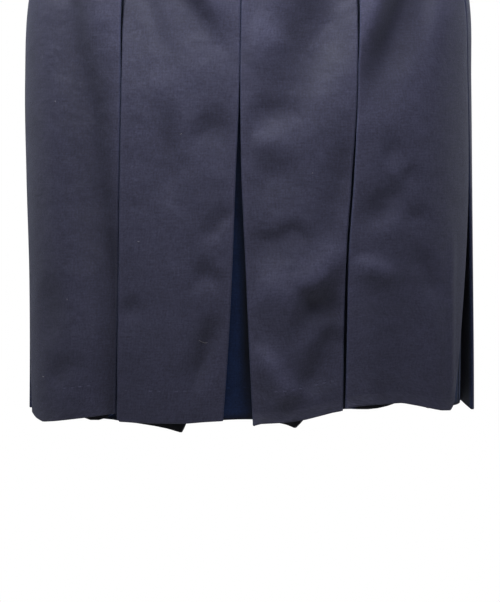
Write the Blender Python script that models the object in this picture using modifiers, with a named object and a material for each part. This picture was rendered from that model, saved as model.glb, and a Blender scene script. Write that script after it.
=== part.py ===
"""Box-pleated midi skirt with a waistband and a side zip, for Blender 4.5.

The cloth is one wall folded into eight inverted box pleats. It hangs from the waist and
stands out round the hips as a hollow tube. Metres, +Z up, the origin at the middle of the
waistband's top edge. The front faces -Y and the wearer's left side is +X.

Places round the skirt are lengths along the hip line, from the centre front, positive
towards the wearer's left. Depths are measured down from the waistband's top edge.
"""
import math

import bmesh
import bpy
import numpy as np
from mathutils import Matrix, Vector

# driving sizes, metres
LENGTH = 0.640
BAND_HEIGHT = 0.030
BAND_THICK = 0.0030
BAND_OUT = -0.0006
HIP_DEPTH = 0.223
WALL = 0.0010
SEAM_GAP = 0.0003

# folds open out from tight at the top to soft at the hem, from FOLD_START down
FOLD_RADIUS_TOP = 0.0009
FOLD_RADIUS_HEM = 0.0015
FOLD_START = 0.200
FOLD_PLAY = 0.0001
HEM_START = 0.420

# a pleat's underlay lies STACK_TOP behind the panels down to STACK_START, then sinks away, and
# from LEAN_START down the corners of its inner folds lean inwards
STACK_TOP = 0.0036
STACK_START = 0.160
STACK_PAST_HEM = 0.100
LEAN_START = 0.630

ZIP_WIDTH = 0.0056
ZIP_THICK = 0.0016
ZIP_OUT = -0.0011
ZIP_TOP = 0.0020
ZIP_END = 0.185
ZIP_TAPER = 0.060

# the slider: width, length up the chain, thickness; two lugs on it carry the pin
SLIDER_DEPTH = 0.0120
SLIDER_SIZE = (0.0054, 0.0080, 0.0022)
LUG_WIDTH = 0.0008
LUG_LENGTH = 0.0026
LUG_PLACE = 0.0020
LUG_SUNK = 0.0003
LUG_OVER_PIN = 0.0006
PIN_RADIUS = 0.0006
PIN_LENGTH = 0.0042
PIN_HEIGHT = 0.0019
PIN_UP = 0.0015

# the pull: an eye round the pin, a neck and a plate
EYE_RADIUS = 0.0016
EYE_HOLE = 0.00095
EYE_WIDTH = 0.0024
NECK_WIDTH = 0.0022
NECK_THICK = 0.0008
NECK_TOP = 0.0009
NECK_END = 0.0035
PLATE_TOP = 0.0030
PLATE_EDGE = 0.0003
PULL_WIDTH = 0.0046
PULL_LENGTH = 0.0135
PULL_THICK = 0.0010

# how finely each stretch is divided, and the depths of the wall's rows
SECTION_POINTS = 2881
BAND_STEPS = 88
FRAME_STEP = 0.004
SHARP_ANGLE = math.radians(50)
ROWS = (
    0.0305, 0.0355, 0.060, 0.092, 0.135, 0.185, 0.235, 0.300, 0.370, 0.440, 0.510, 0.580, 0.640,
)
PANEL_STEPS = 7
RETURN_STEPS = 3
UNDER_STEPS = 5
FOLD_STEPS = 3

# the body of the tube: depth, half width, half depth, sideways shift, squareness (2 is an
# ellipse, and a higher number has a flatter front and rounder corners)
LEVELS = (
    (0.000, 0.1445, 0.0890, 0.0000, 2.2),
    (0.030, 0.1465, 0.0900, 0.0000, 2.2),
    (0.036, 0.1470, 0.0903, 0.0000, 2.2),
    (0.060, 0.1625, 0.0940, 0.0000, 2.3),
    (0.100, 0.1890, 0.0995, 0.0000, 2.5),
    (0.150, 0.2110, 0.1025, -0.0005, 2.8),
    (0.223, 0.2262, 0.1040, -0.0010, 3.0),
    (0.300, 0.2295, 0.1045, -0.0019, 3.0),
    (0.400, 0.2304, 0.1040, -0.0007, 3.0),
    (0.500, 0.2306, 0.1040, 0.0012, 3.0),
    (0.600, 0.2322, 0.1040, 0.0017, 3.0),
    (0.640, 0.2331, 0.1040, 0.0015, 3.0),
)

# where the two folded edges of each pleat lie, at the depths in EDGE_DEPTHS
EDGE_DEPTHS = (0.030, 0.223, 0.310, 0.400, 0.480, 0.560, 0.640)
EDGES = {
    "side_right": ((-0.258, -0.258, -0.258, -0.258, -0.258, -0.263, -0.270),
                   (-0.258, -0.258, -0.258, -0.258, -0.256, -0.250, -0.238)),
    "front_right": ((-0.1240, -0.1240, -0.1235, -0.1267, -0.1304, -0.1333, -0.1350),
                    (-0.1240, -0.1240, -0.1235, -0.1267, -0.1299, -0.1324, -0.1333)),
    "centre_front": ((-0.0077, -0.0077, -0.0080, -0.0133, -0.0185, -0.0235, -0.0287),
                     (-0.0077, -0.0077, -0.0080, -0.0085, -0.0072, -0.0045, 0.0008)),
    "front_left": ((0.1072, 0.1072, 0.1060, 0.1005, 0.0932, 0.0908, 0.0900),
                   (0.1072, 0.1072, 0.1060, 0.1014, 0.0950, 0.0930, 0.0915)),
    "side_left": ((0.2330, 0.2320, 0.2365, 0.2370, 0.2285, 0.2175, 0.2060),
                  (0.2330, 0.2320, 0.2370, 0.2420, 0.2490, 0.2560, 0.2620)),
    "back_left": ((0.397, 0.397, 0.397, 0.396, 0.394, 0.391, 0.388),
                  (0.397, 0.397, 0.397, 0.397, 0.398, 0.400, 0.403)),
    "centre_back": ((0.562, 0.562, 0.562, 0.560, 0.557, 0.554, 0.550),
                    (0.562, 0.562, 0.562, 0.562, 0.564, 0.567, 0.570)),
    "back_right": ((-0.416, -0.416, -0.416, -0.417, -0.419, -0.421, -0.424),
                   (-0.416, -0.416, -0.416, -0.416, -0.415, -0.414, -0.412)),
}

# each pleat's hidden part: the places of its inner folds on the wearer's right and left, how
# far its underlay lies behind the panels at the hem beside each of them, how much lower than
# LENGTH each inner fold and the middle of the underlay hang, and how far each inner fold's
# corner leans towards the pleat's middle at the hem
# place right, place left, sink right, sink left, drop right, drop left, drop of the underlay,
# lean right, lean left
PLEATS = {
    "side_right": (-0.314, -0.205, 0.012, 0.012, 0.000, 0.001, -0.001, 0.000, 0.000),
    "front_right": (-0.178, -0.064, 0.011, 0.012, -0.006, 0.012, 0.004, 0.000, 0.005),
    "centre_front": (-0.0565, 0.0535, 0.014, 0.022, 0.003, 0.0085, 0.0006, 0.000, 0.010),
    "front_left": (0.063, 0.148, 0.011, 0.012, -0.008, -0.0145, -0.0085, 0.000, 0.000),
    "side_left": (0.181, 0.298, 0.014, 0.015, -0.009, -0.002, -0.011, 0.000, 0.000),
    "back_left": (0.343, 0.451, 0.012, 0.013, 0.003, 0.004, -0.002, 0.000, 0.004),
    "centre_back": (0.508, 0.616, 0.014, 0.014, 0.005, 0.003, -0.003, 0.005, 0.000),
    "back_right": (-0.470, -0.362, 0.012, 0.012, 0.003, 0.006, -0.002, 0.000, 0.000),
}

# how much lower than LENGTH each panel's hem hangs: place along the hip line, drop
HEM = (
    (-0.5686, 0.001), (-0.515, 0.004), (-0.450, 0.002), (-0.400, -0.002), (-0.335, 0.003),
    (-0.280, 0.000), (-0.255, -0.002), (-0.244, -0.0015), (-0.237, -0.0012), (-0.225, 0.0034),
    (-0.213, 0.0058), (-0.197, 0.0036), (-0.180, 0.0008), (-0.158, -0.0026), (-0.1345, -0.0056),
    (-0.1320, 0.0018), (-0.109, 0.0020), (-0.087, 0.0020), (-0.063, 0.0022), (-0.045, 0.0008),
    (-0.0287, -0.0002), (0.002, 0.0045), (0.006, 0.0025), (0.030, 0.0008), (0.052, -0.0020),
    (0.065, -0.005), (0.078, -0.008), (0.090, -0.0098), (0.092, -0.0116), (0.104, -0.0142),
    (0.118, -0.0155), (0.150, -0.0162), (0.167, -0.0128), (0.189, -0.0078), (0.200, -0.0071),
    (0.204, -0.0122), (0.206, -0.0150), (0.262, 0.000), (0.300, 0.003), (0.350, -0.002),
    (0.397, 0.002), (0.450, 0.004), (0.505, -0.001), (0.550, 0.003), (0.5686, 0.001),
)

# broad waves of the whole wall: place, half width, depth where it starts, depth where it
# is full, height outwards
WAVES = (
    (-0.190, 0.060, 0.300, 0.640, 0.0035),
    (-0.138, 0.030, 0.380, 0.640, -0.0025),
    (-0.085, 0.045, 0.400, 0.640, 0.0030),
    (0.035, 0.050, 0.250, 0.600, 0.0050),
    (0.095, 0.030, 0.350, 0.600, -0.0030),
    (0.150, 0.040, 0.400, 0.640, -0.0050),
    (0.195, 0.032, 0.400, 0.640, 0.0030),
    (0.325, 0.060, 0.330, 0.640, 0.0050),
    (0.397, 0.035, 0.380, 0.640, -0.0035),
    (0.475, 0.055, 0.300, 0.640, 0.0045),
    (-0.490, 0.055, 0.320, 0.640, 0.0050),
    (-0.416, 0.035, 0.380, 0.640, -0.0035),
    (-0.335, 0.055, 0.330, 0.640, 0.0045),
)


def smoothstep(low, high, x):
    """0 below low, 1 above high, and an easy rise between."""
    t = min(max((x - low) / (high - low), 0.0), 1.0)
    return t * t * (3.0 - 2.0 * t)


def curve_through(xs, ys, x):
    """A smooth curve through the points (xs, ys), read at x."""
    xs = np.asarray(xs, float)
    ys = np.asarray(ys, float)
    slopes = np.gradient(ys, xs)
    i = min(max(int(np.searchsorted(xs, x)) - 1, 0), len(xs) - 2)
    step = xs[i + 1] - xs[i]
    t = min(max((x - xs[i]) / step, 0.0), 1.0)
    value = (2 * t**3 - 3 * t**2 + 1) * ys[i] + (3 * t**2 - 2 * t**3) * ys[i + 1]
    return float(value + step * ((t**3 - 2 * t**2 + t) * slopes[i] + (t**3 - t**2) * slopes[i + 1]))


def section(depth):
    """One level of the tube: places along it, its points and its outward directions."""
    levels = np.array(LEVELS)
    half_width, half_depth, shift, squareness = (
        curve_through(levels[:, 0], levels[:, k], depth) for k in (1, 2, 3, 4)
    )
    turn = np.linspace(-math.pi, math.pi, SECTION_POINTS)
    side, front = np.sin(turn), np.cos(turn)
    x = shift + half_width * np.sign(side) * np.abs(side) ** (2.0 / squareness)
    y = -half_depth * np.sign(front) * np.abs(front) ** (2.0 / squareness)
    run = np.concatenate([[0.0], np.cumsum(np.hypot(np.diff(x), np.diff(y)))])
    run -= run[len(run) // 2]
    dx, dy = np.gradient(x), np.gradient(y)
    size = np.hypot(dx, dy)
    return {"run": run, "x": x, "y": y, "nx": dy / size, "ny": -dx / size, "quarter": run[-1] / 2}


HIP_QUARTER = section(HIP_DEPTH)["quarter"]


def place(level, along, out, depth):
    """A point at a place along the hip line, moved outwards, on a level of the tube."""
    whole = 4.0 * HIP_QUARTER
    along = (along + whole / 2) % whole - whole / 2
    run = along * level["quarter"] / HIP_QUARTER
    x, y, nx, ny = (float(np.interp(run, level["run"], level[k])) for k in ("x", "y", "nx", "ny"))
    size = math.hypot(nx, ny)
    return Vector((x + nx / size * out, y + ny / size * out, -depth))


def wave(along, depth):
    """How far the broad waves move the wall outwards."""
    whole = 4.0 * HIP_QUARTER
    out = 0.0
    for at, half, start, full, height in WAVES:
        away = abs((along - at + whole / 2) % whole - whole / 2) / half
        if away < 1.0:
            out += height * (0.5 + 0.5 * math.cos(math.pi * away)) * smoothstep(start, full, depth)
    return out


def hem_drop(along):
    """How much lower than LENGTH the panels' hem hangs at a place."""
    whole = 4.0 * HIP_QUARTER
    along = (along + whole / 2) % whole - whole / 2
    return float(np.interp(along, [row[0] for row in HEM], [row[1] for row in HEM]))


def fold_radius(depth):
    """How tightly the cloth's middle turns at every fold."""
    growth = FOLD_RADIUS_HEM - FOLD_RADIUS_TOP
    return FOLD_RADIUS_TOP + growth * smoothstep(FOLD_START, LENGTH, depth)


def edge_at(name, side, depth):
    """The folded edge of a pleat at a depth, parted for the zip on the wearer's left."""
    along = curve_through(EDGE_DEPTHS, EDGES[name][side], depth)
    scale = section_quarter(depth) / HIP_QUARTER
    half = WALL / 2 + SEAM_GAP / 2 + FOLD_PLAY
    if name == "side_left":
        zip_half = ZIP_WIDTH / 2 + SEAM_GAP + WALL / 2
        half += (zip_half - half) * (1.0 - smoothstep(ZIP_END, ZIP_END + ZIP_TAPER, depth))
    return along + half / scale * (1 if side else -1)


QUARTERS = {}


def section_quarter(depth):
    """A quarter of the tube's girth at a depth, worked out once for each level."""
    key = round(depth, 6)
    if key not in QUARTERS:
        QUARTERS[key] = section(depth)["quarter"]
    return QUARTERS[key]


def stack(name, side, depth):
    """How far behind the panels a pleat's underlay lies, at one of its inner folds."""
    full = PLEATS[name][2 + side]
    end = LENGTH + STACK_PAST_HEM
    growth = smoothstep(STACK_START, end, depth) / smoothstep(STACK_START, end, LENGTH)
    return STACK_TOP + (full - STACK_TOP) * growth


def inner_at(name, side, depth):
    """The place of a pleat's inner fold, whose corner leans inwards at the hem."""
    towards = -1 if side else 1
    share = max(0.0, (depth - LEAN_START) / (LENGTH - LEAN_START))
    return PLEATS[name][side] + towards * PLEATS[name][7 + side] * share


def folded_half(name, side, depth):
    """Points from a pleat's folded edge round to the middle of its underlay.

    Each is a place along, a distance outwards and a hem drop. side 0 is the half on the
    wearer's right and side 1 the half on the left.
    """
    sign = 1 if side else -1
    scale = section_quarter(depth) / HIP_QUARTER
    radius = fold_radius(depth)
    edge = edge_at(name, side, depth)
    inner = inner_at(name, side, depth)
    under = stack(name, side, depth)
    other = stack(name, 1 - side, depth)
    middle = (PLEATS[name][0] + PLEATS[name][1]) / 2
    edge_drop = hem_drop(edge)
    inner_drop, under_drop = PLEATS[name][4 + side], PLEATS[name][6]
    points = []
    for k in range(FOLD_STEPS + 1):
        turn = math.pi * k / FOLD_STEPS
        along = edge + sign * (radius - radius * math.sin(turn)) / scale
        points.append((along, -radius + radius * math.cos(turn), edge_drop))
    start, end = edge + sign * radius / scale, inner - sign * radius / scale
    deep = -(under - 2 * radius)
    for k in range(1, RETURN_STEPS):
        t = k / RETURN_STEPS
        out = -2 * radius + (deep + 2 * radius) * t
        drop = under_drop + (edge_drop - under_drop) * (1 - t) ** 3
        drop += (inner_drop - under_drop) * t**3
        points.append((start + (end - start) * t, out, drop))
    for k in range(FOLD_STEPS + 1):
        turn = math.pi * k / FOLD_STEPS
        along = end + sign * radius * math.sin(turn) / scale
        points.append((along, deep - radius + radius * math.cos(turn), inner_drop))
    half_steps = UNDER_STEPS / 2
    for k in range(1, int(half_steps) + 1):
        t = k / half_steps / 2
        drop = under_drop + (inner_drop - under_drop) * (1 - 2 * t) ** 2
        out = -(under + (other - under) * t)
        points.append((end + (middle - end) * 2 * t, out, drop))
    return points


def pleat_points(name, depth):
    """A whole pleat from its edge on the wearer's right to its edge on the left."""
    right = folded_half(name, 0, depth)
    left = folded_half(name, 1, depth)
    return right + left[::-1]


def half_pleat(name, side, depth):
    """Half of a pleat, from its folded edge to the seam in the middle of its underlay."""
    points = folded_half(name, side, depth)
    middle = (PLEATS[name][0] + PLEATS[name][1]) / 2
    scale = section_quarter(depth) / HIP_QUARTER
    sign = 1 if side else -1
    mean = (stack(name, 0, depth) + stack(name, 1, depth)) / 2
    seam = middle + sign * SEAM_GAP / 2 / scale
    return points + [(seam, -mean, PLEATS[name][6])]


def panel_points(first, second, depth):
    """The panel between two pleats, without its ends."""
    whole = 4.0 * HIP_QUARTER
    radius = fold_radius(depth) * HIP_QUARTER / section_quarter(depth)
    start = edge_at(first, 1, depth) + radius
    end = edge_at(second, 0, depth) - radius
    if end < start:
        end += whole
    points = []
    for k in range(1, PANEL_STEPS):
        along = start + (end - start) * k / PANEL_STEPS
        points.append((along, 0.0, hem_drop(along)))
    return points


def wall_rows(names, depths):
    """Rows of points down a wall from the seam in the first pleat to the one in the last."""
    rows = []
    for depth in depths:
        level = section(depth)
        points = half_pleat(names[0], 1, depth)[::-1]
        for first, second in zip(names, names[1:]):
            points += panel_points(first, second, depth)
            if second != names[-1]:
                points += pleat_points(second, depth)
        points += half_pleat(names[-1], 0, depth)
        hang = smoothstep(HEM_START, LENGTH, depth)
        row = []
        for along, out, drop in points:
            row.append(place(level, along, out + wave(along, depth), depth + drop * hang))
        rows.append(row)
    return rows


def material(name, colour, roughness, metallic=0.0):
    """A plain look for one kind of piece."""
    made = bpy.data.materials.new(name)
    made.use_nodes = True
    shader = made.node_tree.nodes["Principled BSDF"]
    shader.inputs["Base Color"].default_value = (*colour, 1.0)
    shader.inputs["Roughness"].default_value = roughness
    shader.inputs["Metallic"].default_value = metallic
    return made


def shell(name, rows, thickness, collection, look, smooth=True):
    """An open surface through rows of points, thickened to both sides."""
    bm = bmesh.new()
    grid = [[bm.verts.new(point) for point in row] for row in rows]
    for upper, lower in zip(grid, grid[1:]):
        for k in range(len(upper) - 1):
            bm.faces.new((upper[k], lower[k], lower[k + 1], upper[k + 1]))
    mesh = bpy.data.meshes.new(name)
    bm.to_mesh(mesh)
    bm.free()
    made = bpy.data.objects.new(name, mesh)
    collection.objects.link(made)
    made.data.materials.append(look)
    solid = made.modifiers.new("Wall", "SOLIDIFY")
    solid.thickness = thickness
    solid.offset = 0.0
    solid.use_even_offset = True
    if smooth:
        mesh.shade_smooth()
        mesh.set_sharp_from_angle(angle=SHARP_ANGLE)
    return made


def box(name, size, centre, collection):
    """A box of a size, centred at a point of its own frame, with its scale applied."""
    bpy.ops.mesh.primitive_cube_add(size=1.0)
    made = bpy.context.object
    made.name = name
    made.data.transform(Matrix.Translation(centre) @ Matrix.Diagonal((*size, 1.0)))
    move_to(made, collection)
    return made


def rod(name, radius, length, centre, collection, sides=24):
    """A round rod along X."""
    bpy.ops.mesh.primitive_cylinder_add(vertices=sides, radius=radius, depth=length)
    made = bpy.context.object
    made.name = name
    made.data.transform(Matrix.Translation(centre) @ Matrix.Rotation(math.pi / 2, 4, "Y"))
    move_to(made, collection)
    return made


def move_to(made, collection):
    """Takes an object out of its collections and puts it in another."""
    for old in list(made.users_collection):
        old.objects.unlink(made)
    collection.objects.link(made)


def combine(made, cutter, operation):
    """A Boolean with a cutter or a joined piece, which is hidden afterwards."""
    step = made.modifiers.new(cutter.name, "BOOLEAN")
    step.object = cutter
    step.operation = operation
    cutter.hide_render = True
    cutter.display_type = "WIRE"


def bevel(made, width):
    """Rounds the sharp edges of a piece."""
    step = made.modifiers.new("Edges", "BEVEL")
    step.width = width
    step.segments = 2
    step.limit_method = "ANGLE"


def zip_middle(depth):
    """The middle line of the zip at a depth, as a place along the hip line."""
    return (edge_at("side_left", 0, depth) + edge_at("side_left", 1, depth)) / 2


def zip_frame(depth):
    """A frame on the zip: X along the tube, Y up the cloth, Z outwards."""
    level = section(depth)
    lower = depth + FRAME_STEP
    middle = zip_middle(depth)
    here = place(level, middle, 0.0, depth)
    before = place(level, middle - FRAME_STEP, 0.0, depth)
    along = (place(level, middle + FRAME_STEP, 0.0, depth) - before).normalized()
    down = place(section(lower), zip_middle(lower), 0.0, lower) - here
    out = down.normalized().cross(along).normalized()
    if out.x < 0:
        out = -out
    up = out.cross(along).normalized()
    return Matrix((
        (along.x, up.x, out.x, here.x),
        (along.y, up.y, out.y, here.y),
        (along.z, up.z, out.z, here.z),
        (0.0, 0.0, 0.0, 1.0),
    ))


def clear_scene():
    """Starts from an empty scene."""
    for old in list(bpy.data.objects):
        bpy.data.objects.remove(old, do_unlink=True)


def waistband(collection, look):
    """A stiff band round the waist, parted at the zip."""
    whole = 4.0 * HIP_QUARTER
    rows = []
    for depth in (0.0, BAND_HEIGHT / 2, BAND_HEIGHT):
        level = section(depth)
        half = (ZIP_WIDTH / 2 + SEAM_GAP) * HIP_QUARTER / level["quarter"]
        start = zip_middle(depth) + half
        end = zip_middle(depth) - half + whole
        places = [start + (end - start) * k / BAND_STEPS for k in range(BAND_STEPS + 1)]
        rows.append([place(level, along, BAND_OUT, depth) for along in places])
    return shell("waistband", rows, BAND_THICK, collection, look)


def zip_chain(collection, look):
    """The closed row of teeth, from the waistband's top down to the hip."""
    rows = []
    beside_wall = [depth for depth in ROWS[1:] if depth < ZIP_END]
    for depth in (ZIP_TOP, BAND_HEIGHT / 2, BAND_HEIGHT, *beside_wall, ZIP_END - SEAM_GAP):
        level = section(depth)
        half = ZIP_WIDTH / 2 * HIP_QUARTER / level["quarter"]
        middle = zip_middle(depth)
        rows.append([place(level, middle + t * half, ZIP_OUT, depth) for t in (-1, 0, 1)])
    return shell("zip", rows, ZIP_THICK, collection, look, smooth=False)


def zip_slider(collection, cutters, look, frame):
    """The slider's body with a pin across two lugs."""
    top = SLIDER_SIZE[2]
    body = box("zip_slider", SLIDER_SIZE, (0.0, 0.0, top / 2), collection)
    tall = LUG_SUNK + PIN_HEIGHT + LUG_OVER_PIN
    lug_size = (LUG_WIDTH, LUG_LENGTH, tall)
    joined = [rod("pin", PIN_RADIUS, PIN_LENGTH, (0.0, PIN_UP, top + PIN_HEIGHT), cutters)]
    for side in (-1, 1):
        middle = (side * LUG_PLACE, PIN_UP, top - LUG_SUNK + tall / 2)
        joined.append(box("lug", lug_size, middle, cutters))
    for piece in joined:
        combine(body, piece, "UNION")
        piece.matrix_world = frame
    body.data.materials.append(look)
    body.matrix_world = frame
    return body


def zip_pull(collection, cutters, look, hinge):
    """The flat tab that hangs from the slider's pin, its origin on the pin's axis."""
    tab = rod("zip_pull", EYE_RADIUS, EYE_WIDTH, (0.0, 0.0, 0.0), collection)
    neck_size = (NECK_WIDTH, NECK_END - NECK_TOP, NECK_THICK)
    neck = box("neck", neck_size, (0.0, -(NECK_TOP + NECK_END) / 2, 0.0), cutters)
    plate_size = (PULL_WIDTH, PULL_LENGTH - PLATE_TOP, PULL_THICK)
    plate = box("plate", plate_size, (0.0, -(PLATE_TOP + PULL_LENGTH) / 2, 0.0), cutters)
    bevel(plate, PLATE_EDGE)
    hole = rod("hole", EYE_HOLE, 2 * EYE_WIDTH, (0.0, 0.0, 0.0), cutters)
    for piece, operation in ((neck, "UNION"), (plate, "UNION"), (hole, "DIFFERENCE")):
        combine(tab, piece, operation)
        piece.matrix_world = hinge
    tab.data.materials.append(look)
    tab.matrix_world = hinge
    return tab


def hinge_frame(frame):
    """The pin's frame: X along the pin, Y straight up, so that the tab hangs plumb."""
    point = frame @ Vector((0.0, PIN_UP, SLIDER_SIZE[2] + PIN_HEIGHT))
    along = Vector((frame[0][0], frame[1][0], 0.0)).normalized()
    up = Vector((0.0, 0.0, 1.0))
    out = along.cross(up)
    return Matrix((
        (along.x, up.x, out.x, point.x),
        (along.y, up.y, out.y, point.y),
        (along.z, up.z, out.z, point.z),
        (0.0, 0.0, 0.0, 1.0),
    ))


def main():
    """Builds every piece of the skirt in its collection."""
    clear_scene()
    scene_root = bpy.context.scene.collection
    skirt = bpy.data.collections.new("pleated_midi_skirt")
    cutters = bpy.data.collections.new("cutters")
    scene_root.children.link(skirt)
    scene_root.children.link(cutters)
    wool = material("navy_wool", (0.043, 0.045, 0.070), 0.85)
    wool_back = material("navy_wool_back", (0.041, 0.043, 0.067), 0.85)
    band_wool = material("navy_wool_band", (0.043, 0.045, 0.070), 0.85)
    tape = material("navy_zip_chain", (0.030, 0.032, 0.050), 0.45)
    metal = material("dark_slider_metal", (0.045, 0.047, 0.060), 0.35, 1.0)
    tab_metal = material("dark_pull_metal", (0.045, 0.047, 0.060), 0.35, 1.0)
    front = ("side_right", "front_right", "centre_front", "front_left", "side_left")
    back = ("side_left", "back_left", "centre_back", "back_right", "side_right")
    shell("front", wall_rows(front, ROWS), WALL, skirt, wool)
    shell("back", wall_rows(back, ROWS), WALL, skirt, wool_back)
    waistband(skirt, band_wool)
    zip_chain(skirt, tape)
    frame = zip_frame(SLIDER_DEPTH)
    zip_slider(skirt, cutters, metal, frame)
    zip_pull(skirt, cutters, tab_metal, hinge_frame(frame))


main()
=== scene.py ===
"""Pleated midi skirt: cloth walls with their creases, waistband, side zip, floor, light and camera.

Metres, +Z up, the origin at the middle of the waistband's top edge, the front facing -Y and the
wearer's left side +X. Places round the skirt are lengths along the hip line from the centre
front, positive towards the wearer's left, and depths are measured down from the waistband.
"""
import math
from collections import namedtuple

import bmesh
import bpy
import numpy as np
from bpy.props import FloatProperty, FloatVectorProperty, IntProperty, PointerProperty
from mathutils import Matrix, Vector


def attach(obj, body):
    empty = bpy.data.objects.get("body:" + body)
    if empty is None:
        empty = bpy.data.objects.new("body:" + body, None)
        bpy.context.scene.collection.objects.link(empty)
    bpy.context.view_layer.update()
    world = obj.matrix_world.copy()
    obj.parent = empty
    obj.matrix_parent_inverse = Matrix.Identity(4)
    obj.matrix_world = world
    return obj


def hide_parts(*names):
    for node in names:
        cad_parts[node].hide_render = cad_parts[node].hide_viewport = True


bl_info = {
    "name": "Pleated Midi Skirt",
    "version": (1, 0, 0),
    "blender": (4, 5, 0),
    "location": "View3D > Sidebar > Skirt",
    "description": "Makes the cloth, waistband, zip and stage of a box-pleated midi skirt",
    "category": "Object",
}

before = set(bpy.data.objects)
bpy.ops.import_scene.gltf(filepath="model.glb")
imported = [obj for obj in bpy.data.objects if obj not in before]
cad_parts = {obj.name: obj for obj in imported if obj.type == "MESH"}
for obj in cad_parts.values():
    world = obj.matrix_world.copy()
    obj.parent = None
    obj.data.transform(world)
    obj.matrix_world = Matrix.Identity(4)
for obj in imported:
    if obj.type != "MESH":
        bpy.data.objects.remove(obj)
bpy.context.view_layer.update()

MM = 0.001
BODY = "skirt"
TAB_BODY = "pull_tab"

# the skirt's own sizes, as its solids have them
LENGTH = 0.640
BAND_HEIGHT = 0.030
BAND_OUT = -0.0006
HIP_DEPTH = 0.223
WALL = 0.0010
SEAM_GAP = 0.0003

# pleats: how tightly the cloth's middle turns at the top and the hem and where that starts to
# change, and the play between two folded edges that are shut
FOLD_RADIUS_TOP = 0.0009
FOLD_RADIUS_HEM = 0.0015
FOLD_START = 0.200
FOLD_PLAY = 0.0001

# how far the underlays lie behind the panels at the top, the depth where they start to sink
# further, and how far past the hem that would end
STACK_TOP = 0.0036
STACK_START = 0.160
STACK_PAST_HEM = 0.100

# depths where the hem starts to hang unevenly, and where the inner folds' corners start to lean
HEM_START = 0.420
LEAN_START = 0.630

# how the back and the front end at a side seam, where the front laps under: distance from the
# seam's middle line, and how far the cloth lies below
SEAM_BUTT = ((0.00015, 0.0),)
SEAM_LAP = ((0.0012, 0.0), (0.0002, 0.0009), (-0.0020, 0.0009))

# how hidden the cloth is, which picks its colour: 0 on the panels, then inside an open pleat
# (a deeper navy, partly unfaded dye and partly painted shade), in the painted shade of an
# underlay, and painted shadow where hardly any light comes
DEEP = 1.0
UNDERLAY_SHADE = 1.9
DARK = 2.0

# painted shade on an open underlay: it fades out between these distances from the folded edge
# on the wearer's left, and comes back in this last height above the hem
SHADE_NEAR = 0.0030
SHADE_REACH = 0.0100
HEM_SHADE = 0.0045

# share of an underlay's half from which the panel on its other side starts to move it too
SHARE_START = 0.4

# how suddenly the hem of a pleat's returns rises from its corners: 1 is straight
RETURN_BEND = 3
RETURN_BENDS = {"side_left": 1}

# rows of the walls: the first one's depth, how many lead to the finer ones, where those start
# and end, the last ones' heights above the hem, and the heights of those up the turned-up hem
TOP_ROW = BAND_HEIGHT - 0.0002
COARSE_ROWS = 24
FINE_START = HIP_DEPTH - 0.010
FINE_END = LENGTH - 0.003
LAST_ROWS = (0.0018, 0.0006, 0.0)
TURNED_ROWS = (0.0, 0.004, 0.011, 0.019, 0.027)

# how far from a folded edge the lighter wool fades: the iron's polish and painted sheen
POLISH_REACH = 0.0022

# points round one level of the tube, points along a crease's line, half widths that a crease
# reaches, a margin that keeps a fade of no length from dividing by nothing, and the angle from
# which a hard piece's edge is sharp
SECTION_POINTS = 2881
LINE_POINTS = 24
CREASE_REACH = 3.2
FADE_MARGIN = 0.001
SHARP_ANGLE = math.radians(40)

# the waistband: how far it reaches past the waist seam and is tucked there, the space between
# its rows at their ends, how far it stops short inside, its rows, and its fold's rows and how much
# lighter the fold is, worn and with painted sheen
BAND_PAST_SEAM = 0.0009
BAND_TUCK = 0.0001
BAND_ROW = 0.0010
BAND_SHORT = 0.0008
BAND_ROWS = 12
BAND_FOLD_ROWS = 7
BAND_POLISH = 0.7

# the waistband's ends: how far from each they round in, and the least share that they close to
BAND_END = 0.0022
BAND_END_LEAST = 0.0025

# the waistband's ease: height, and radians to a metre along and down it; then a longer sway's
BAND_EASE = (0.00022, 190.0, 95.0)
BAND_SWAY = (0.0001, 71.0)

# the zip's chain and tape; ZIP_TAPER is how far below its end the pleat takes to close, and
# ZIP_STEP is the distance over which its direction is measured
ZIP_WIDTH = 0.0056
ZIP_OUT = -0.0011
ZIP_TOP = 0.0020
ZIP_END = 0.185
ZIP_TAPER = 0.060
ZIP_STEP = 0.004
TAPE_BEHIND = 0.0004
TAPE_ROWS = 60
TAPE_COLUMNS = 7
TEETH_PITCH = 0.0015
TOOTH = (0.0023, 0.0008, 0.0012)
TOOTH_ASIDE = 0.0009
TOOTH_OUT = 0.0002
TOOTH_EDGE = 0.00018

# the slider with its lugs and pin; its lower end and its face are narrower by these shares
SLIDER_DEPTH = 0.0120
SLIDER_SIZE = (0.0054, 0.0080, 0.0022)
SLIDER_LOWER = 0.74
SLIDER_FACE = (0.88, 0.92)
SLIDER_EDGE = 0.0005
LUG_PLACE = 0.0020
LUG_WIDTH = 0.0008
LUG_HEIGHT = 0.0026
LUG_PAST_PIN = 0.0009
LUG_SUNK = 0.0003
LUG_EDGE = 0.0003
PIN_RADIUS = 0.0006
PIN_LENGTH = 0.0042
PIN_HEIGHT = 0.0019
PIN_UP = 0.0015
PIN_SIDES = 16

# the pull tab: its eye, the neck below that, the plate, and a raised line inside each long side
EYE_RADIUS = 0.0016
EYE_HOLE = 0.00095
EYE_LENGTH = 0.0024
EYE_SIDES = 24
NECK_SIZE = (0.0022, 0.0026, 0.0008)
NECK_DOWN = 0.0022
NECK_EDGE = 0.0001
PULL_WIDTH = 0.0046
PULL_LENGTH = 0.0135
PULL_THICK = 0.0010
PULL_EDGE = 0.0004
PLATE_DOWN = 0.0030
RIM_INSET = 0.0011
RIM_WIDTH = 0.0005
RIM_HEIGHT = 0.00016

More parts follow.
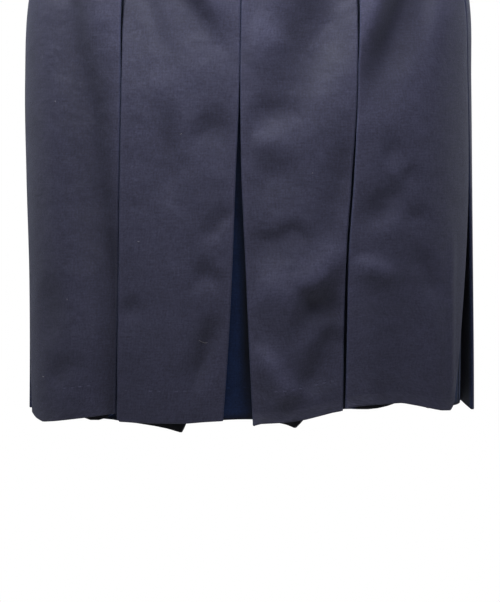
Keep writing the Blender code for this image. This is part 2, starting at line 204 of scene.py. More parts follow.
# the body of the tube: depth, half width, half depth, sideways shift, squareness
LEVELS = (
    (0.000, 0.1445, 0.0890, 0.0000, 2.2),
    (0.030, 0.1465, 0.0900, 0.0000, 2.2),
    (0.036, 0.1470, 0.0903, 0.0000, 2.2),
    (0.060, 0.1625, 0.0940, 0.0000, 2.3),
    (0.100, 0.1890, 0.0995, 0.0000, 2.5),
    (0.150, 0.2110, 0.1025, -0.0005, 2.8),
    (0.223, 0.2262, 0.1040, -0.0010, 3.0),
    (0.300, 0.2295, 0.1045, -0.0019, 3.0),
    (0.400, 0.2304, 0.1040, -0.0007, 3.0),
    (0.500, 0.2306, 0.1040, 0.0012, 3.0),
    (0.600, 0.2322, 0.1037, 0.0017, 3.0),
    (0.640, 0.2331, 0.1028, 0.0015, 3.0),
)

# where the two folded edges of each pleat lie, at the depths in EDGE_DEPTHS
EDGE_DEPTHS = (0.030, 0.223, 0.310, 0.400, 0.480, 0.560, 0.640)
EDGES = {
    "side_right": ((-0.258, -0.258, -0.258, -0.258, -0.258, -0.263, -0.270),
                   (-0.258, -0.258, -0.258, -0.258, -0.256, -0.250, -0.238)),
    "front_right": ((-0.1240, -0.1240, -0.1235, -0.1267, -0.1304, -0.1333, -0.1350),
                    (-0.1240, -0.1240, -0.1235, -0.1267, -0.1299, -0.1324, -0.1333)),
    "centre_front": ((-0.0077, -0.0077, -0.0080, -0.0128, -0.0173, -0.0219, -0.0272),
                     (-0.0077, -0.0077, -0.0080, -0.0079, -0.0060, -0.0032, 0.0008)),
    "front_left": ((0.1072, 0.1072, 0.1060, 0.1005, 0.0932, 0.0908, 0.0900),
                   (0.1072, 0.1072, 0.1060, 0.1014, 0.0950, 0.0930, 0.0915)),
    "side_left": ((0.2330, 0.2320, 0.2365, 0.2370, 0.2285, 0.2175, 0.2060),
                  (0.2330, 0.2320, 0.2370, 0.2420, 0.2490, 0.2560, 0.2620)),
    "back_left": ((0.397, 0.397, 0.397, 0.396, 0.394, 0.391, 0.388),
                  (0.397, 0.397, 0.397, 0.397, 0.398, 0.400, 0.403)),
    "centre_back": ((0.562, 0.562, 0.562, 0.560, 0.557, 0.554, 0.550),
                    (0.562, 0.562, 0.562, 0.562, 0.564, 0.567, 0.570)),
    "back_right": ((-0.416, -0.416, -0.416, -0.417, -0.419, -0.421, -0.424),
                   (-0.416, -0.416, -0.416, -0.416, -0.415, -0.414, -0.412)),
}

# each pleat's hidden part, in pairs for the wearer's right and left: the places of its inner
# folds, how far behind the panels they lie, how much lower their hem hangs, and how far their
# corners lean in; and how much lower the underlay's hem hangs in its middle
Pleat = namedtuple("Pleat", "folds sink drop lean under_drop")
PLEATS = {
    "side_right": Pleat((-0.314, -0.205), (0.012, 0.012), (0.0, 0.001), (0.0, 0.0), -0.001),
    "front_right": Pleat((-0.178, -0.064), (0.011, 0.012), (-0.006, 0.012), (0.0, 0.005), 0.004),
    "centre_front": Pleat((-0.0565, 0.0535), (0.014, 0.022), (0.003, 0.0085), (0.0, 0.010), 0.0006),
    "front_left": Pleat((0.063, 0.148), (0.011, 0.012), (-0.009, -0.0155), (0.0, 0.0), -0.0100),
    "side_left": Pleat((0.181, 0.298), (0.014, 0.015), (-0.009, -0.0045), (0.0, 0.0), -0.008),
    "back_left": Pleat((0.343, 0.451), (0.012, 0.013), (0.003, 0.004), (0.0, 0.004), -0.002),
    "centre_back": Pleat((0.508, 0.616), (0.014, 0.014), (0.005, 0.003), (0.005, 0.0), -0.003),
    "back_right": Pleat((-0.470, -0.362), (0.012, 0.012), (0.003, 0.006), (0.0, 0.0), -0.002),
}

# the panels on either side of each pleat, on the wearer's right and left of it
BESIDE = {
    "side_right": ("back_4", "front_1"),
    "front_right": ("front_1", "front_2"),
    "centre_front": ("front_2", "front_3"),
    "front_left": ("front_3", "front_4"),
    "side_left": ("front_4", "back_1"),
    "back_left": ("back_1", "back_2"),
    "centre_back": ("back_2", "back_3"),
    "back_right": ("back_3", "back_4"),
}
FRONT = ("side_right", "front_right", "centre_front", "front_left", "side_left")
BACK = ("side_left", "back_left", "centre_back", "back_right", "side_right")

# how much lower than LENGTH each panel's hem hangs: place along the hip line, drop
HEM = (
    (-0.5686, 0.001), (-0.515, 0.004), (-0.450, 0.002), (-0.400, -0.002), (-0.335, 0.003),
    (-0.280, 0.000), (-0.255, -0.002), (-0.244, -0.0015), (-0.237, -0.0012), (-0.225, 0.0034),
    (-0.213, 0.0058), (-0.197, 0.0036), (-0.180, 0.0008), (-0.158, -0.0026), (-0.1345, -0.0056),
    (-0.1320, 0.0018), (-0.109, 0.0020), (-0.087, 0.0020), (-0.063, 0.0022), (-0.045, 0.0008),
    (-0.0272, -0.0002), (0.002, 0.0045), (0.006, 0.0025), (0.030, 0.0008), (0.052, -0.0020),
    (0.065, -0.005), (0.078, -0.008), (0.090, -0.0098), (0.092, -0.0116), (0.104, -0.0142),
    (0.118, -0.0155), (0.150, -0.0162), (0.167, -0.0128), (0.189, -0.0078), (0.200, -0.0071),
    (0.204, -0.0122), (0.206, -0.0150), (0.262, 0.000), (0.300, 0.003), (0.350, -0.002),
    (0.397, 0.002), (0.450, 0.004), (0.505, -0.001), (0.550, 0.003), (0.5686, 0.001),
)

# broad waves of the whole wall: place, half width, depth where it starts, depth where it is
# full, height outwards
WAVES = (
    (-0.190, 0.060, 0.300, 0.640, 0.0035),
    (-0.138, 0.030, 0.380, 0.640, -0.0025),
    (-0.085, 0.045, 0.400, 0.640, 0.0030),
    (0.035, 0.050, 0.250, 0.600, 0.0050),
    (0.095, 0.030, 0.350, 0.600, -0.0030),
    (0.150, 0.040, 0.400, 0.640, -0.0050),
    (0.195, 0.032, 0.400, 0.640, 0.0030),
    (0.325, 0.060, 0.330, 0.640, 0.0050),
    (0.397, 0.035, 0.380, 0.640, -0.0035),
    (0.475, 0.055, 0.300, 0.640, 0.0045),
    (-0.490, 0.055, 0.320, 0.640, 0.0050),
    (-0.416, 0.035, 0.380, 0.640, -0.0035),
    (-0.335, 0.055, 0.330, 0.640, 0.0045),
)

# soft creases, in millimetres: panel, height (a trough is negative), half width on the left of
# its line as one follows it over the face, half width on the right of it, shares of its length
# over which it fades in and out, and its line as places and depths
CREASES = (
    ("front_1", -7.5, 20, 30, 0.2, 0.3, ((-271, 93), (-191, 195), (-182, 230), (-173, 274),
     (-160, 323), (-154, 387), (-148, 446), (-145, 521), (-143, 570))),
    ("front_1", -6, 9, 13, 0.4, 0, ((-149, 426), (-140, 471), (-138, 520), (-138, 570),
     (-139, 651))),
    ("front_1", -2, 14, 14, 0.4, 0.4, ((-211, 598), (-190, 591), (-173, 573))),
    ("front_1", -2.5, 16, 16, 0.5, 0.5, ((-215, 487), (-201, 532), (-206, 578))),
    ("front_2", -6.4, 14, 46, 0.4, 0.5, ((-148, 110), (-117, 184), (-109, 213), (-97, 241),
     (-85, 268), (-72, 295), (-64, 324))),
    ("front_2", -4.8, 12, 26, 0.4, 0.4, ((-110, 136), (-86, 203), (-63, 228), (-41, 259),
     (-21, 280), (-4, 291))),
    ("front_2", 2.8, 16, 10, 0.4, 0.4, ((-76, 146), (-58, 205), (-42, 222), (-26, 243), (-8, 260))),
    ("front_2", -2.8, 17, 24, 0.4, 0.4, ((-58, 345), (-34, 352), (-10, 344))),
    ("front_2", -3.2, 10, 12, 0.4, 0.5, ((-85, 314), (-77, 373), (-80, 446))),
    ("front_2", -2.2, 8, 10, 0.4, 0.4, ((-13, 426), (-32, 446), (-51, 466))),
    ("front_2", -2.2, 12, 14, 0.4, 0.4, ((-63, 494), (-47, 496), (-30, 488))),
    ("front_2", -4.6, 10, 12, 0.35, 0.5, ((-32, 530), (-42, 561), (-51, 589), (-62, 627))),
    ("front_2", -1.5, 9, 8, 0.4, 0.4, ((-130, 538), (-120, 530), (-105, 517))),
    ("front_3", 3.4, 26, 26, 0.4, 0.4, ((-8, 270), (15, 270), (42, 259))),
    ("front_3", -12, 28, 33, 0.4, 0.5, ((110, 121), (94, 195), (81, 228), (68, 268), (54, 307),
     (36, 334), (13, 349))),
    ("front_3", -3.1, 19, 18, 0.35, 0.5, ((-4, 340), (15, 341), (34, 334), (52, 318))),
    ("front_3", 1.2, 14, 16, 0.3, 0.4, ((-1, 364), (21, 365), (42, 360))),
    ("front_3", -2.2, 17, 29, 0.35, 0.4, ((1, 394), (30, 397), (59, 390))),
    ("front_3", -3.8, 20, 18, 0.5, 0.6, ((101, 329), (95, 373), (87, 418), (74, 453), (60, 480))),
    ("front_3", -2.8, 9, 22, 0.25, 0.4, ((-3, 451), (9, 460), (26, 462), (42, 453), (58, 464),
     (75, 459))),
    ("front_3", 3.4, 18, 26, 0.4, 0.3, ((1, 498), (28, 514), (55, 521))),
    ("front_3", 4.2, 15, 18, 0.5, 0.2, ((95, 457), (73, 492), (50, 520))),
    ("front_3", -4.5, 22, 24, 0.35, 0.4, ((43, 524), (64, 532), (94, 524))),
    ("front_3", 4.6, 9, 17, 0.4, 0.25, ((1, 557), (14, 577), (27, 600), (46, 626))),
    ("front_3", -4.2, 22, 13, 0.3, 0.3, ((88, 548), (69, 579), (50, 619))),
    ("front_4", 5.4, 14, 14, 0.4, 0.4, ((169, 118), (140, 202), (128, 227), (117, 266),
     (104, 308))),
    ("front_4", -8.6, 30, 20, 0.4, 0.4, ((238, 108), (173, 193), (156, 226), (140, 267), (126, 310),
     (110, 359))),
    ("front_4", -2.6, 9, 10, 0.4, 0.5, ((212, 134), (185, 204), (176, 235), (174, 304))),
    ("front_4", -1.7, 13, 14, 0.4, 0.4, ((125, 374), (141, 374), (158, 367))),
    ("front_4", -1.5, 9, 10, 0.4, 0.4, ((146, 394), (159, 398), (171, 394))),
    ("front_4", -1.6, 9, 11, 0.4, 0.4, ((145, 433), (161, 438), (179, 431))),
    ("front_4", -3.2, 14, 16, 0.35, 0.4, ((155, 402), (133, 427), (105, 454))),
    ("front_4", 2.8, 11, 15, 0.3, 0.4, ((96, 486), (120, 494), (149, 508))),
    ("front_4", -2.4, 8, 12, 0.4, 0.4, ((159, 459), (177, 495), (192, 540))),
    ("front_4", 1.4, 4, 4, 0.3, 0.1, ((207, 434), (202, 518), (200, 635))),
    ("back_1", -4.6, 18, 14, 0.4, 0.4, ((362, 115), (352, 195), (341, 240), (324, 285),
     (303, 325))),
    ("back_1", -1.8, 14, 20, 0.3, 0.3, ((288, 430), (312, 440), (345, 432))),
    ("back_1", 1.8, 10, 14, 0.3, 0.3, ((290, 500), (318, 508), (352, 500))),
    ("back_1", -2.2, 12, 14, 0.4, 0.3, ((372, 530), (355, 568), (344, 612))),
    ("back_2", -3.8, 13, 20, 0.4, 0.4, ((424, 115), (432, 195), (442, 240), (458, 282),
     (474, 322))),
    ("back_2", -2.8, 14, 13, 0.5, 0.4, ((532, 125), (524, 195), (512, 236), (494, 274))),
    ("back_2", -1.8, 16, 16, 0.4, 0.4, ((430, 372), (458, 380), (486, 370))),
    ("back_2", 1.9, 12, 14, 0.3, 0.3, ((424, 455), (452, 466), (482, 452))),
    ("back_2", -2.6, 9, 11, 0.4, 0.3, ((520, 520), (506, 560), (494, 606))),
    ("back_3", -5.6, 22, 26, 0.35, 0.4, ((-524, 115), (-518, 195), (-506, 240), (-486, 282),
     (-462, 310), (-436, 322))),
    ("back_3", -1.7, 16, 20, 0.4, 0.4, ((-540, 382), (-512, 390), (-484, 380))),
    ("back_3", -2.5, 14, 24, 0.3, 0.3, ((-545, 460), (-512, 468), (-470, 460))),
    ("back_3", -3.2, 24, 12, 0.4, 0.3, ((-505, 545), (-475, 552), (-444, 545))),
    ("back_4", -4.2, 18, 26, 0.3, 0.4, ((-342, 115), (-338, 190), (-330, 250), (-318, 320),
     (-306, 390))),
    ("back_4", -1.8, 12, 16, 0.4, 0.4, ((-396, 420), (-370, 428), (-340, 418))),
    ("back_4", 1.6, 10, 14, 0.3, 0.3, ((-392, 505), (-366, 512), (-338, 502))),
    ("back_4", -2.0, 12, 12, 0.4, 0.3, ((-296, 510), (-306, 556), (-320, 606))),
)

# lint on the cloth, in millimetres: panel, place, depth, length, turn in degrees; then a hair's
# places and depths, how far a fibre bends, and the radius of each kind in metres
LINT = (
    ("front_1", -194, 324, 1.4, 70),
    ("front_2", -65, 357, 1.6, 150),
    ("front_2", -109, 462, 1.8, 10),
    ("front_1", -183, 520, 1.2, 95),
    ("front_1", -212, 595, 1.5, 20),
    ("front_3", 61, 395, 1.0, 120),
    ("back_2", 452, 390, 1.5, 40),
    ("back_3", -470, 520, 1.6, 130),
)
HAIR_POINTS = ((-51.5, 559.0), (-49.5, 560.2), (-47.0, 561.6), (-44.6, 562.2), (-43.2, 561.6))
LINT_BEND = 0.2
LINT_RADIUS = 0.00022
HAIR_RADIUS = 0.00016
FIBRE_SIDES = 5
FIBRE_POINTS = 9

# patterns of the materials: the twill's slant, the wave texture's period at a scale of 1, the
# stretch of the slubs along their thread, how high the weave and the hem's stitches stand, and
# the sizes of the patches
RIB_SLANT = math.radians(27)
WAVE_PERIOD = 2 * math.pi / 20
SLUB_STRETCH = 0.12
WEAVE_RELIEF = 0.00022
STITCH_RELIEF = 0.0004
STITCH_BELOW = 0.0020
STITCH_PATCH = MM / 0.045
TAPE_THREAD = 0.0006
TAPE_RELIEF = 0.00008
ACETAL_GRAIN = MM / 1.8
ACETAL_RELIEF = 0.00005
RUBBED_PATCH = MM / 0.42
FIBRE_TWIST = MM / 3.0

# a stitch's half length and half height: where its dimple starts to rise, and where it ends
STITCH_LONG = (0.0008, 0.0021)
STITCH_TALL = (0.0003, 0.0011)

# the patches in which a stitch shows: where they start to, and where they fully do
STITCH_SHOWS = (0.46, 0.60)

# how each pattern tones the wool: two values of the pattern, and the tone at each
NAP_TONE = (0.3, 0.7, 0.72, 1.28)
CLOUD_TONE = (0.35, 0.65, 0.95, 1.05)
SLUB_TONE = (0.75, 1.25, 0.82, 1.18)
# folded edges lighter: worn, polished wool and painted sheen
WORN_AND_SHEEN_TONE = (0.0, 1.0, 1.0, 1.22)
# painted shade and light: crease troughs darker, ridges lighter
CREASE_SHADE_TONE = (-1.0, 1.0, 1.28, 0.72)
# painted highlight: each hem stitch's dimple is painted lighter
STITCH_HIGHLIGHT_TONE = (0.0, 1.0, 1.0, 1.45)

# the soft lights: name, the setting with its power, place, what it looks at, width and height
LIGHTS = (
    ("key", "key_power", (-0.05, -0.40, 0.34), (0.0, 0.0, -0.25), (0.80, 0.16)),
    ("side_right", "side_power", (-1.10, 0.30, -0.25), (0.0, 0.0, -0.38), (0.4, 0.7)),
    ("side_left", "side_power", (1.10, 0.30, -0.25), (0.0, 0.0, -0.38), (0.4, 0.7)),
    ("fill", "fill_power", (-1.3, -2.2, 0.3), (0.0, 0.0, -0.35), (1.2, 1.2)),
    ("back", "back_power", (0.05, 0.45, 0.34), (0.0, 0.0, -0.25), (0.80, 0.16)),
    ("back_fill", "fill_power", (1.3, 2.2, 0.3), (0.0, 0.0, -0.35), (1.2, 1.2)),
)
LIGHT_COLOUR = "#EEF2FF"
SENSOR_WIDTH = 36.0
CLIP_START = 0.05


def linear(code):
    """An sRGB hex colour as linear red, green and blue."""
    parts = [int(code[k:k + 2], 16) / 255.0 for k in (1, 3, 5)]
    return tuple(c / 12.92 if c <= 0.04045 else ((c + 0.055) / 1.055) ** 2.4 for c in parts)


# ---------------------------------------------------------------- the form of the cloth

def smoothstep(low, high, x):
    """0 below low, 1 above high, and an easy rise between."""
    t = np.clip((np.asarray(x, float) - low) / (high - low), 0.0, 1.0)
    return t * t * (3.0 - 2.0 * t)


def curve_through(xs, ys, x):
    """A smooth curve through the points (xs, ys), read at x."""
    xs = np.asarray(xs, float)
    ys = np.asarray(ys, float)
    slopes = np.gradient(ys, xs)
    i = np.clip(np.searchsorted(xs, x) - 1, 0, len(xs) - 2)
    step = xs[i + 1] - xs[i]
    t = np.clip((x - xs[i]) / step, 0.0, 1.0)
    value = (2 * t**3 - 3 * t**2 + 1) * ys[i] + (3 * t**2 - 2 * t**3) * ys[i + 1]
    return value + step * ((t**3 - 2 * t**2 + t) * slopes[i] + (t**3 - t**2) * slopes[i + 1])


SECTIONS = {}


def section(depth):
    """One level of the tube: places along it, its points and its outward directions."""
    key = round(float(depth), 6)
    if key in SECTIONS:
        return SECTIONS[key]
    levels = np.array(LEVELS)
    half_width, half_depth, shift, squareness = (
        float(curve_through(levels[:, 0], levels[:, k], depth)) for k in (1, 2, 3, 4)
    )
    turn = np.linspace(-math.pi, math.pi, SECTION_POINTS)
    side, front = np.sin(turn), np.cos(turn)
    x = shift + half_width * np.sign(side) * np.abs(side) ** (2.0 / squareness)
    y = -half_depth * np.sign(front) * np.abs(front) ** (2.0 / squareness)
    run = np.concatenate([[0.0], np.cumsum(np.hypot(np.diff(x), np.diff(y)))])
    run -= run[len(run) // 2]
    dx, dy = np.gradient(x), np.gradient(y)
    size = np.hypot(dx, dy)
    level = {"run": run, "x": x, "y": y, "nx": dy / size, "ny": -dx / size, "quarter": run[-1] / 2}
    SECTIONS[key] = level
    return level


HIP_QUARTER = section(HIP_DEPTH)["quarter"]
HIP_GIRTH = 4.0 * HIP_QUARTER


def wrapped(along):
    """A place along the hip line brought within half a girth of the centre front."""
    return (along + HIP_GIRTH / 2) % HIP_GIRTH - HIP_GIRTH / 2


def place(depth, along, out, drop=0.0):
    """Points at places along the hip line, moved outwards, on one level of the tube."""
    level = section(depth)
    run = wrapped(np.asarray(along, float)) * level["quarter"] / HIP_QUARTER
    x, y, nx, ny = (np.interp(run, level["run"], level[k]) for k in ("x", "y", "nx", "ny"))
    size = np.hypot(nx, ny)
    z = -(depth + drop) * np.ones_like(x)
    return np.stack([x + nx / size * out, y + ny / size * out, z], axis=-1)


def wave(along, depth):
    """How far the broad waves move the wall outwards."""
    out = np.zeros_like(np.asarray(along, float))
    for at, half, start, full, height in WAVES:
        away = np.clip(np.abs(wrapped(along - at)) / half, 0.0, 1.0)
        out += height * (0.5 + 0.5 * np.cos(np.pi * away)) * smoothstep(start, full, depth)
    return out


def hem_drop(along):
    """How much lower than LENGTH the panels' hem hangs at a place."""
    return np.interp(wrapped(along), [row[0] for row in HEM], [row[1] for row in HEM])


def scale_at(depth):
    """The girth at a depth as a share of the girth at the hip."""
    return section(depth)["quarter"] / HIP_QUARTER


def fold_radius(depth):
    """How tightly the cloth's middle turns at every fold."""
    growth = FOLD_RADIUS_HEM - FOLD_RADIUS_TOP
    return FOLD_RADIUS_TOP + growth * float(smoothstep(FOLD_START, LENGTH, depth))


def edge_at(name, side, depth):
    """The folded edge of a pleat at a depth, parted for the zip on the wearer's left."""
    along = float(curve_through(EDGE_DEPTHS, EDGES[name][side], depth))
    half = WALL / 2 + SEAM_GAP / 2 + FOLD_PLAY
    if name == "side_left":
        zip_half = ZIP_WIDTH / 2 + SEAM_GAP + WALL / 2
        half += (zip_half - half) * (1.0 - float(smoothstep(ZIP_END, ZIP_END + ZIP_TAPER, depth)))
    return along + half / scale_at(depth) * (1 if side else -1)


def stack(name, side, depth):
    """How far behind the panels a pleat's underlay lies, at one of its inner folds."""
    full = PLEATS[name].sink[side]
    end = LENGTH + STACK_PAST_HEM
    growth = float(smoothstep(STACK_START, end, depth) / smoothstep(STACK_START, end, LENGTH))
    return STACK_TOP + (full - STACK_TOP) * growth


def inner_at(name, side, depth):
    """The place of a pleat's inner fold, whose corner leans inwards at the hem."""
    towards = -1 if side else 1
    share = max(0.0, (depth - LEAN_START) / (LENGTH - LEAN_START))
    return PLEATS[name].folds[side] + towards * PLEATS[name].lean[side] * share


def pleat_middle(name):
    """The place halfway between a pleat's inner folds."""
    return sum(PLEATS[name].folds) / 2


def folded_half(name, side, depth, steps):
    """From a pleat's folded edge round to the middle of its underlay.

    Each row is a place along, a distance outwards, a hem drop, how hidden the cloth is (which
    picks its deeper navy and painted shade), and the share that the other side's panel has in
    moving it.
    """
    fold_steps, return_steps, under_steps = steps
    sign = 1 if side else -1
    scale = scale_at(depth)
    radius = fold_radius(depth)
    edge = edge_at(name, side, depth)
    under = stack(name, side, depth)
    other = stack(name, 1 - side, depth)
    middle = pleat_middle(name)
    edge_drop = float(hem_drop(edge))
    inner_drop, under_drop = PLEATS[name].drop[side], PLEATS[name].under_drop
    bend = RETURN_BENDS.get(name, RETURN_BEND)
    rows = []
    for k in range(fold_steps + 1):
        turn = math.pi * k / fold_steps
        along = edge + sign * (radius - radius * math.sin(turn)) / scale
        rows.append((along, -radius + radius * math.cos(turn), edge_drop, k / fold_steps, 0.0))
    start = edge + sign * radius / scale
    end = inner_at(name, side, depth) - sign * radius / scale
    deep = -(under - 2 * radius)
    # the returns and inner folds behind the panels get DARK, the painted shadow colour
    for k in range(1, return_steps):
        t = k / return_steps
        drop = under_drop + (edge_drop - under_drop) * (1 - t) ** bend
        drop += (inner_drop - under_drop) * t**bend
        out = -2 * radius + (deep + 2 * radius) * t
        rows.append((start + (end - start) * t, out, drop, DARK, 0.0))
    for k in range(fold_steps + 1):
        turn = math.pi * k / fold_steps
        along = end + sign * radius * math.sin(turn) / scale
        rows.append((along, deep - radius + radius * math.cos(turn), inner_drop, DARK, 0.0))
    for k in range(1, under_steps // 2 + 1):
        t = 2 * k / under_steps
        drop = under_drop + (inner_drop - under_drop) * (1 - t) ** 2
        out = -(under + (other - under) * t / 2)
        along = end + (middle - end) * t
        # painted shade: the underlay is darkened near the folded edge on the wearer's left and just
        # above the hem
        light = float(smoothstep(SHADE_NEAR, SHADE_REACH, edge_at(name, 1, depth) - along))
        light *= float(smoothstep(LENGTH, LENGTH - HEM_SHADE, depth))
        shade = UNDERLAY_SHADE - (UNDERLAY_SHADE - DEEP) * light
        rows.append((along, out, drop, shade, 0.5 * float(smoothstep(SHARE_START, 1.0, t))))
    return rows


def seam_rows(name, side, depth, steps):
    """The end of a wall, at the seam in the middle of a side pleat's underlay.

    Each step is a distance from the seam's middle line and how far the cloth lies below there.
    """
    sign = 1 if side else -1
    mean = (stack(name, 0, depth) + stack(name, 1, depth)) / 2
    middle, scale, drop = pleat_middle(name), scale_at(depth), PLEATS[name].under_drop
    # the seam's cloth gets DARK, the painted shadow colour
    return [(middle + sign * away / scale, -mean - below, drop, DARK, 0.5)
            for away, below in steps]


def panel_rows(first, second, depth, steps):
    """The panel between two pleats, without its ends, its columns closer near the folds."""
    radius = fold_radius(depth) / scale_at(depth)
    start = edge_at(first, 1, depth) + radius
    end = edge_at(second, 0, depth) - radius
    if end < start:
        end += HIP_GIRTH
    t = np.arange(1, steps) / steps
    t = t - 0.5 * np.sin(2 * np.pi * t) / (2 * np.pi)
    along = start + (end - start) * t
    drop = hem_drop(along)
    return [(a, 0.0, d, 0.0, 0.0) for a, d in zip(along, drop)]


def wall_layout(names, depth, panel_steps, steps):
    """Every column of a wall at a depth, and the two panels that move each column."""
    def half(name, side):
        """The columns on one side of a pleat, and the panels that move them."""
        own, other = BESIDE[name][side], BESIDE[name][1 - side]
        rows = folded_half(name, side, depth, steps)
        return rows, [(own, other)] * len(rows)

    seam = SEAM_LAP if names == FRONT else SEAM_BUTT
    rows, owners = half(names[0], 1)
    rows += seam_rows(names[0], 1, depth, seam)
    rows, owners = rows[::-1], owners[:1] * len(seam) + owners
    for first, second in zip(names, names[1:]):
        panel = BESIDE[first][1]
        between = panel_rows(first, second, depth, panel_steps)
        rows += between
        owners += [(panel, panel)] * len(between)
        right, right_owners = half(second, 0)
        rows += right
        owners += right_owners
        if second != names[-1]:
            left, left_owners = half(second, 1)
            rows += left[::-1]
            owners += left_owners[::-1]
    rows += seam_rows(names[-1], 0, depth, seam)
    owners += owners[-1:] * len(seam)
    return np.array(rows), owners


def smooth_line(points, count=LINE_POINTS):
    """Points along a smooth curve through a few given ones."""
    points = np.array(points, float)
    at = np.concatenate([[0.0], np.cumsum(np.linalg.norm(np.diff(points, axis=0), axis=1))])
    wanted = np.linspace(0.0, at[-1], count)
    return np.stack([curve_through(at, points[:, k], wanted) for k in (0, 1)], axis=-1)


def crease_height(panel, along, depth, strength):
    """The height of a panel's creases at places and depths, in metres."""
    total = np.zeros(np.broadcast(along, depth).shape)
    for name, height, near, far, fade_in, fade_out, points in CREASES:
        if name != panel:
            continue
        line = smooth_line(points) * MM
        x = wrapped(along - line[0, 0])
        y = depth - line[0, 1]
        line = line - line[0]
        reach = CREASE_REACH * max(near, far) * MM
        low, high = line.min(axis=0) - reach, line.max(axis=0) + reach
        if not np.any((x > low[0]) & (x < high[0]) & (y > low[1]) & (y < high[1])):
            continue
        best = np.full(total.shape, np.inf)
        side = np.ones(total.shape)
        share = np.zeros(total.shape)
        for k, (a, b) in enumerate(zip(line, line[1:])):
            step = b - a
            t = np.clip(((x - a[0]) * step[0] + (y - a[1]) * step[1]) / step.dot(step), 0.0, 1.0)
            away = np.hypot(x - a[0] - t * step[0], y - a[1] - t * step[1])
            closer = away < best
            across = (x - a[0]) * step[1] - (y - a[1]) * step[0]
            best = np.where(closer, away, best)
            side = np.where(closer, np.sign(across), side)
            share = np.where(closer, (k + t) / (len(line) - 1), share)
        width = np.where(side > 0, near, far) * MM
        ends = smoothstep(-FADE_MARGIN, fade_in, share)
        ends *= smoothstep(1.0 + FADE_MARGIN, 1.0 - fade_out, share)
        total += height * MM * strength * ends * np.exp(-(best / width) ** 2)
    return total


def wall_points(names, depths, cloth):
    """The cloth's middle surface: rows of points, and what each column is."""
    steps = (cloth.fold_steps, cloth.return_steps, cloth.under_steps)
    layouts = [wall_layout(names, depth, cloth.panel_steps, steps) for depth in depths]
    table = np.array([layout[0] for layout in layouts])
    owners = layouts[0][1]
    along, out, drop, hidden, share = (table[:, :, k] for k in range(5))
    level = np.array(depths)[:, None] * np.ones_like(along)
    heights = {}
    for panel in sorted({owner for pair in owners for owner in pair}):
        own = np.array([pair[0] == panel for pair in owners])
        other = np.array([pair[1] == panel and pair[0] != panel for pair in owners])
        used = own | other
        height = crease_height(panel, along[:, used], level[:, used], cloth.crease_strength)
        heights[panel] = np.zeros_like(along)
        heights[panel][:, used] = height
    lift = np.stack([heights[pair[0]][:, k] for k, pair in enumerate(owners)], axis=1)
    beside = np.stack([heights[pair[1]][:, k] for k, pair in enumerate(owners)], axis=1)
    lift += (np.minimum(lift, beside) - lift) * 2 * share
    points = np.empty(along.shape + (3,))
    for k, depth in enumerate(depths):
        hang = float(smoothstep(HEM_START, LENGTH, depth))
        moved = out[k] + wave(along[k], depth) + lift[k]
        points[k] = place(depth, along[k], moved, drop[k] * hang)
    return points, hidden, along, lift


def outward(points):
    """Unit directions out of the right side of the cloth, at every point of its rows."""
    across = np.gradient(points, axis=1)
    down = np.gradient(points, axis=0)
    normal = np.cross(down, across)
    return normal / np.linalg.norm(normal, axis=-1, keepdims=True)


def surface_point(panel, along, depth, cloth):
    """A point on the face of a panel, and the direction out of it."""
    points = []
    for place_at, level in ((along, depth), (along + MM, depth), (along, depth + MM)):
        at = np.array([place_at])
        height = crease_height(panel, at, np.array([level]), cloth.crease_strength)
        hang = float(smoothstep(HEM_START, LENGTH, level))
        points.append(Vector(place(level, at, wave(at, level) + height, hem_drop(at) * hang)[0]))
    here, beside, below = points
    normal = (below - here).cross(beside - here).normalized()
    return here + normal * cloth.thickness / 2, normal


def zip_middle(depth):
    """The middle line of the zip at a depth, as a place along the hip line."""
    return (edge_at("side_left", 0, depth) + edge_at("side_left", 1, depth)) / 2


def zip_frame(depth, out=0.0):
    """A frame on the zip: X along the tube, Y up the cloth, Z outwards."""
    middle, lower = zip_middle(depth), depth + ZIP_STEP
    here = Vector(place(depth, [middle], out)[0])
    before = Vector(place(depth, [middle - ZIP_STEP], out)[0])
    along = (Vector(place(depth, [middle + ZIP_STEP], out)[0]) - before).normalized()
    down = Vector(place(lower, [zip_middle(lower)], out)[0]) - here
    outside = down.normalized().cross(along).normalized()
    if outside.x < 0:
        outside = -outside
    up = outside.cross(along).normalized()
    turned = Matrix((along, up, outside)).transposed().to_4x4()
    return Matrix.Translation(here) @ turned


# ---------------------------------------------------------------- shared building steps

def link(name, mesh):
    """A new object for a mesh, in the scene."""
    made = bpy.data.objects.new(name, mesh)
    bpy.context.scene.collection.objects.link(made)
    return made


def mesh_from(name, bm):
    """A new mesh made of a bmesh, which is freed."""
    mesh = bpy.data.meshes.new(name)
    bm.to_mesh(mesh)
    bm.free()
    return mesh


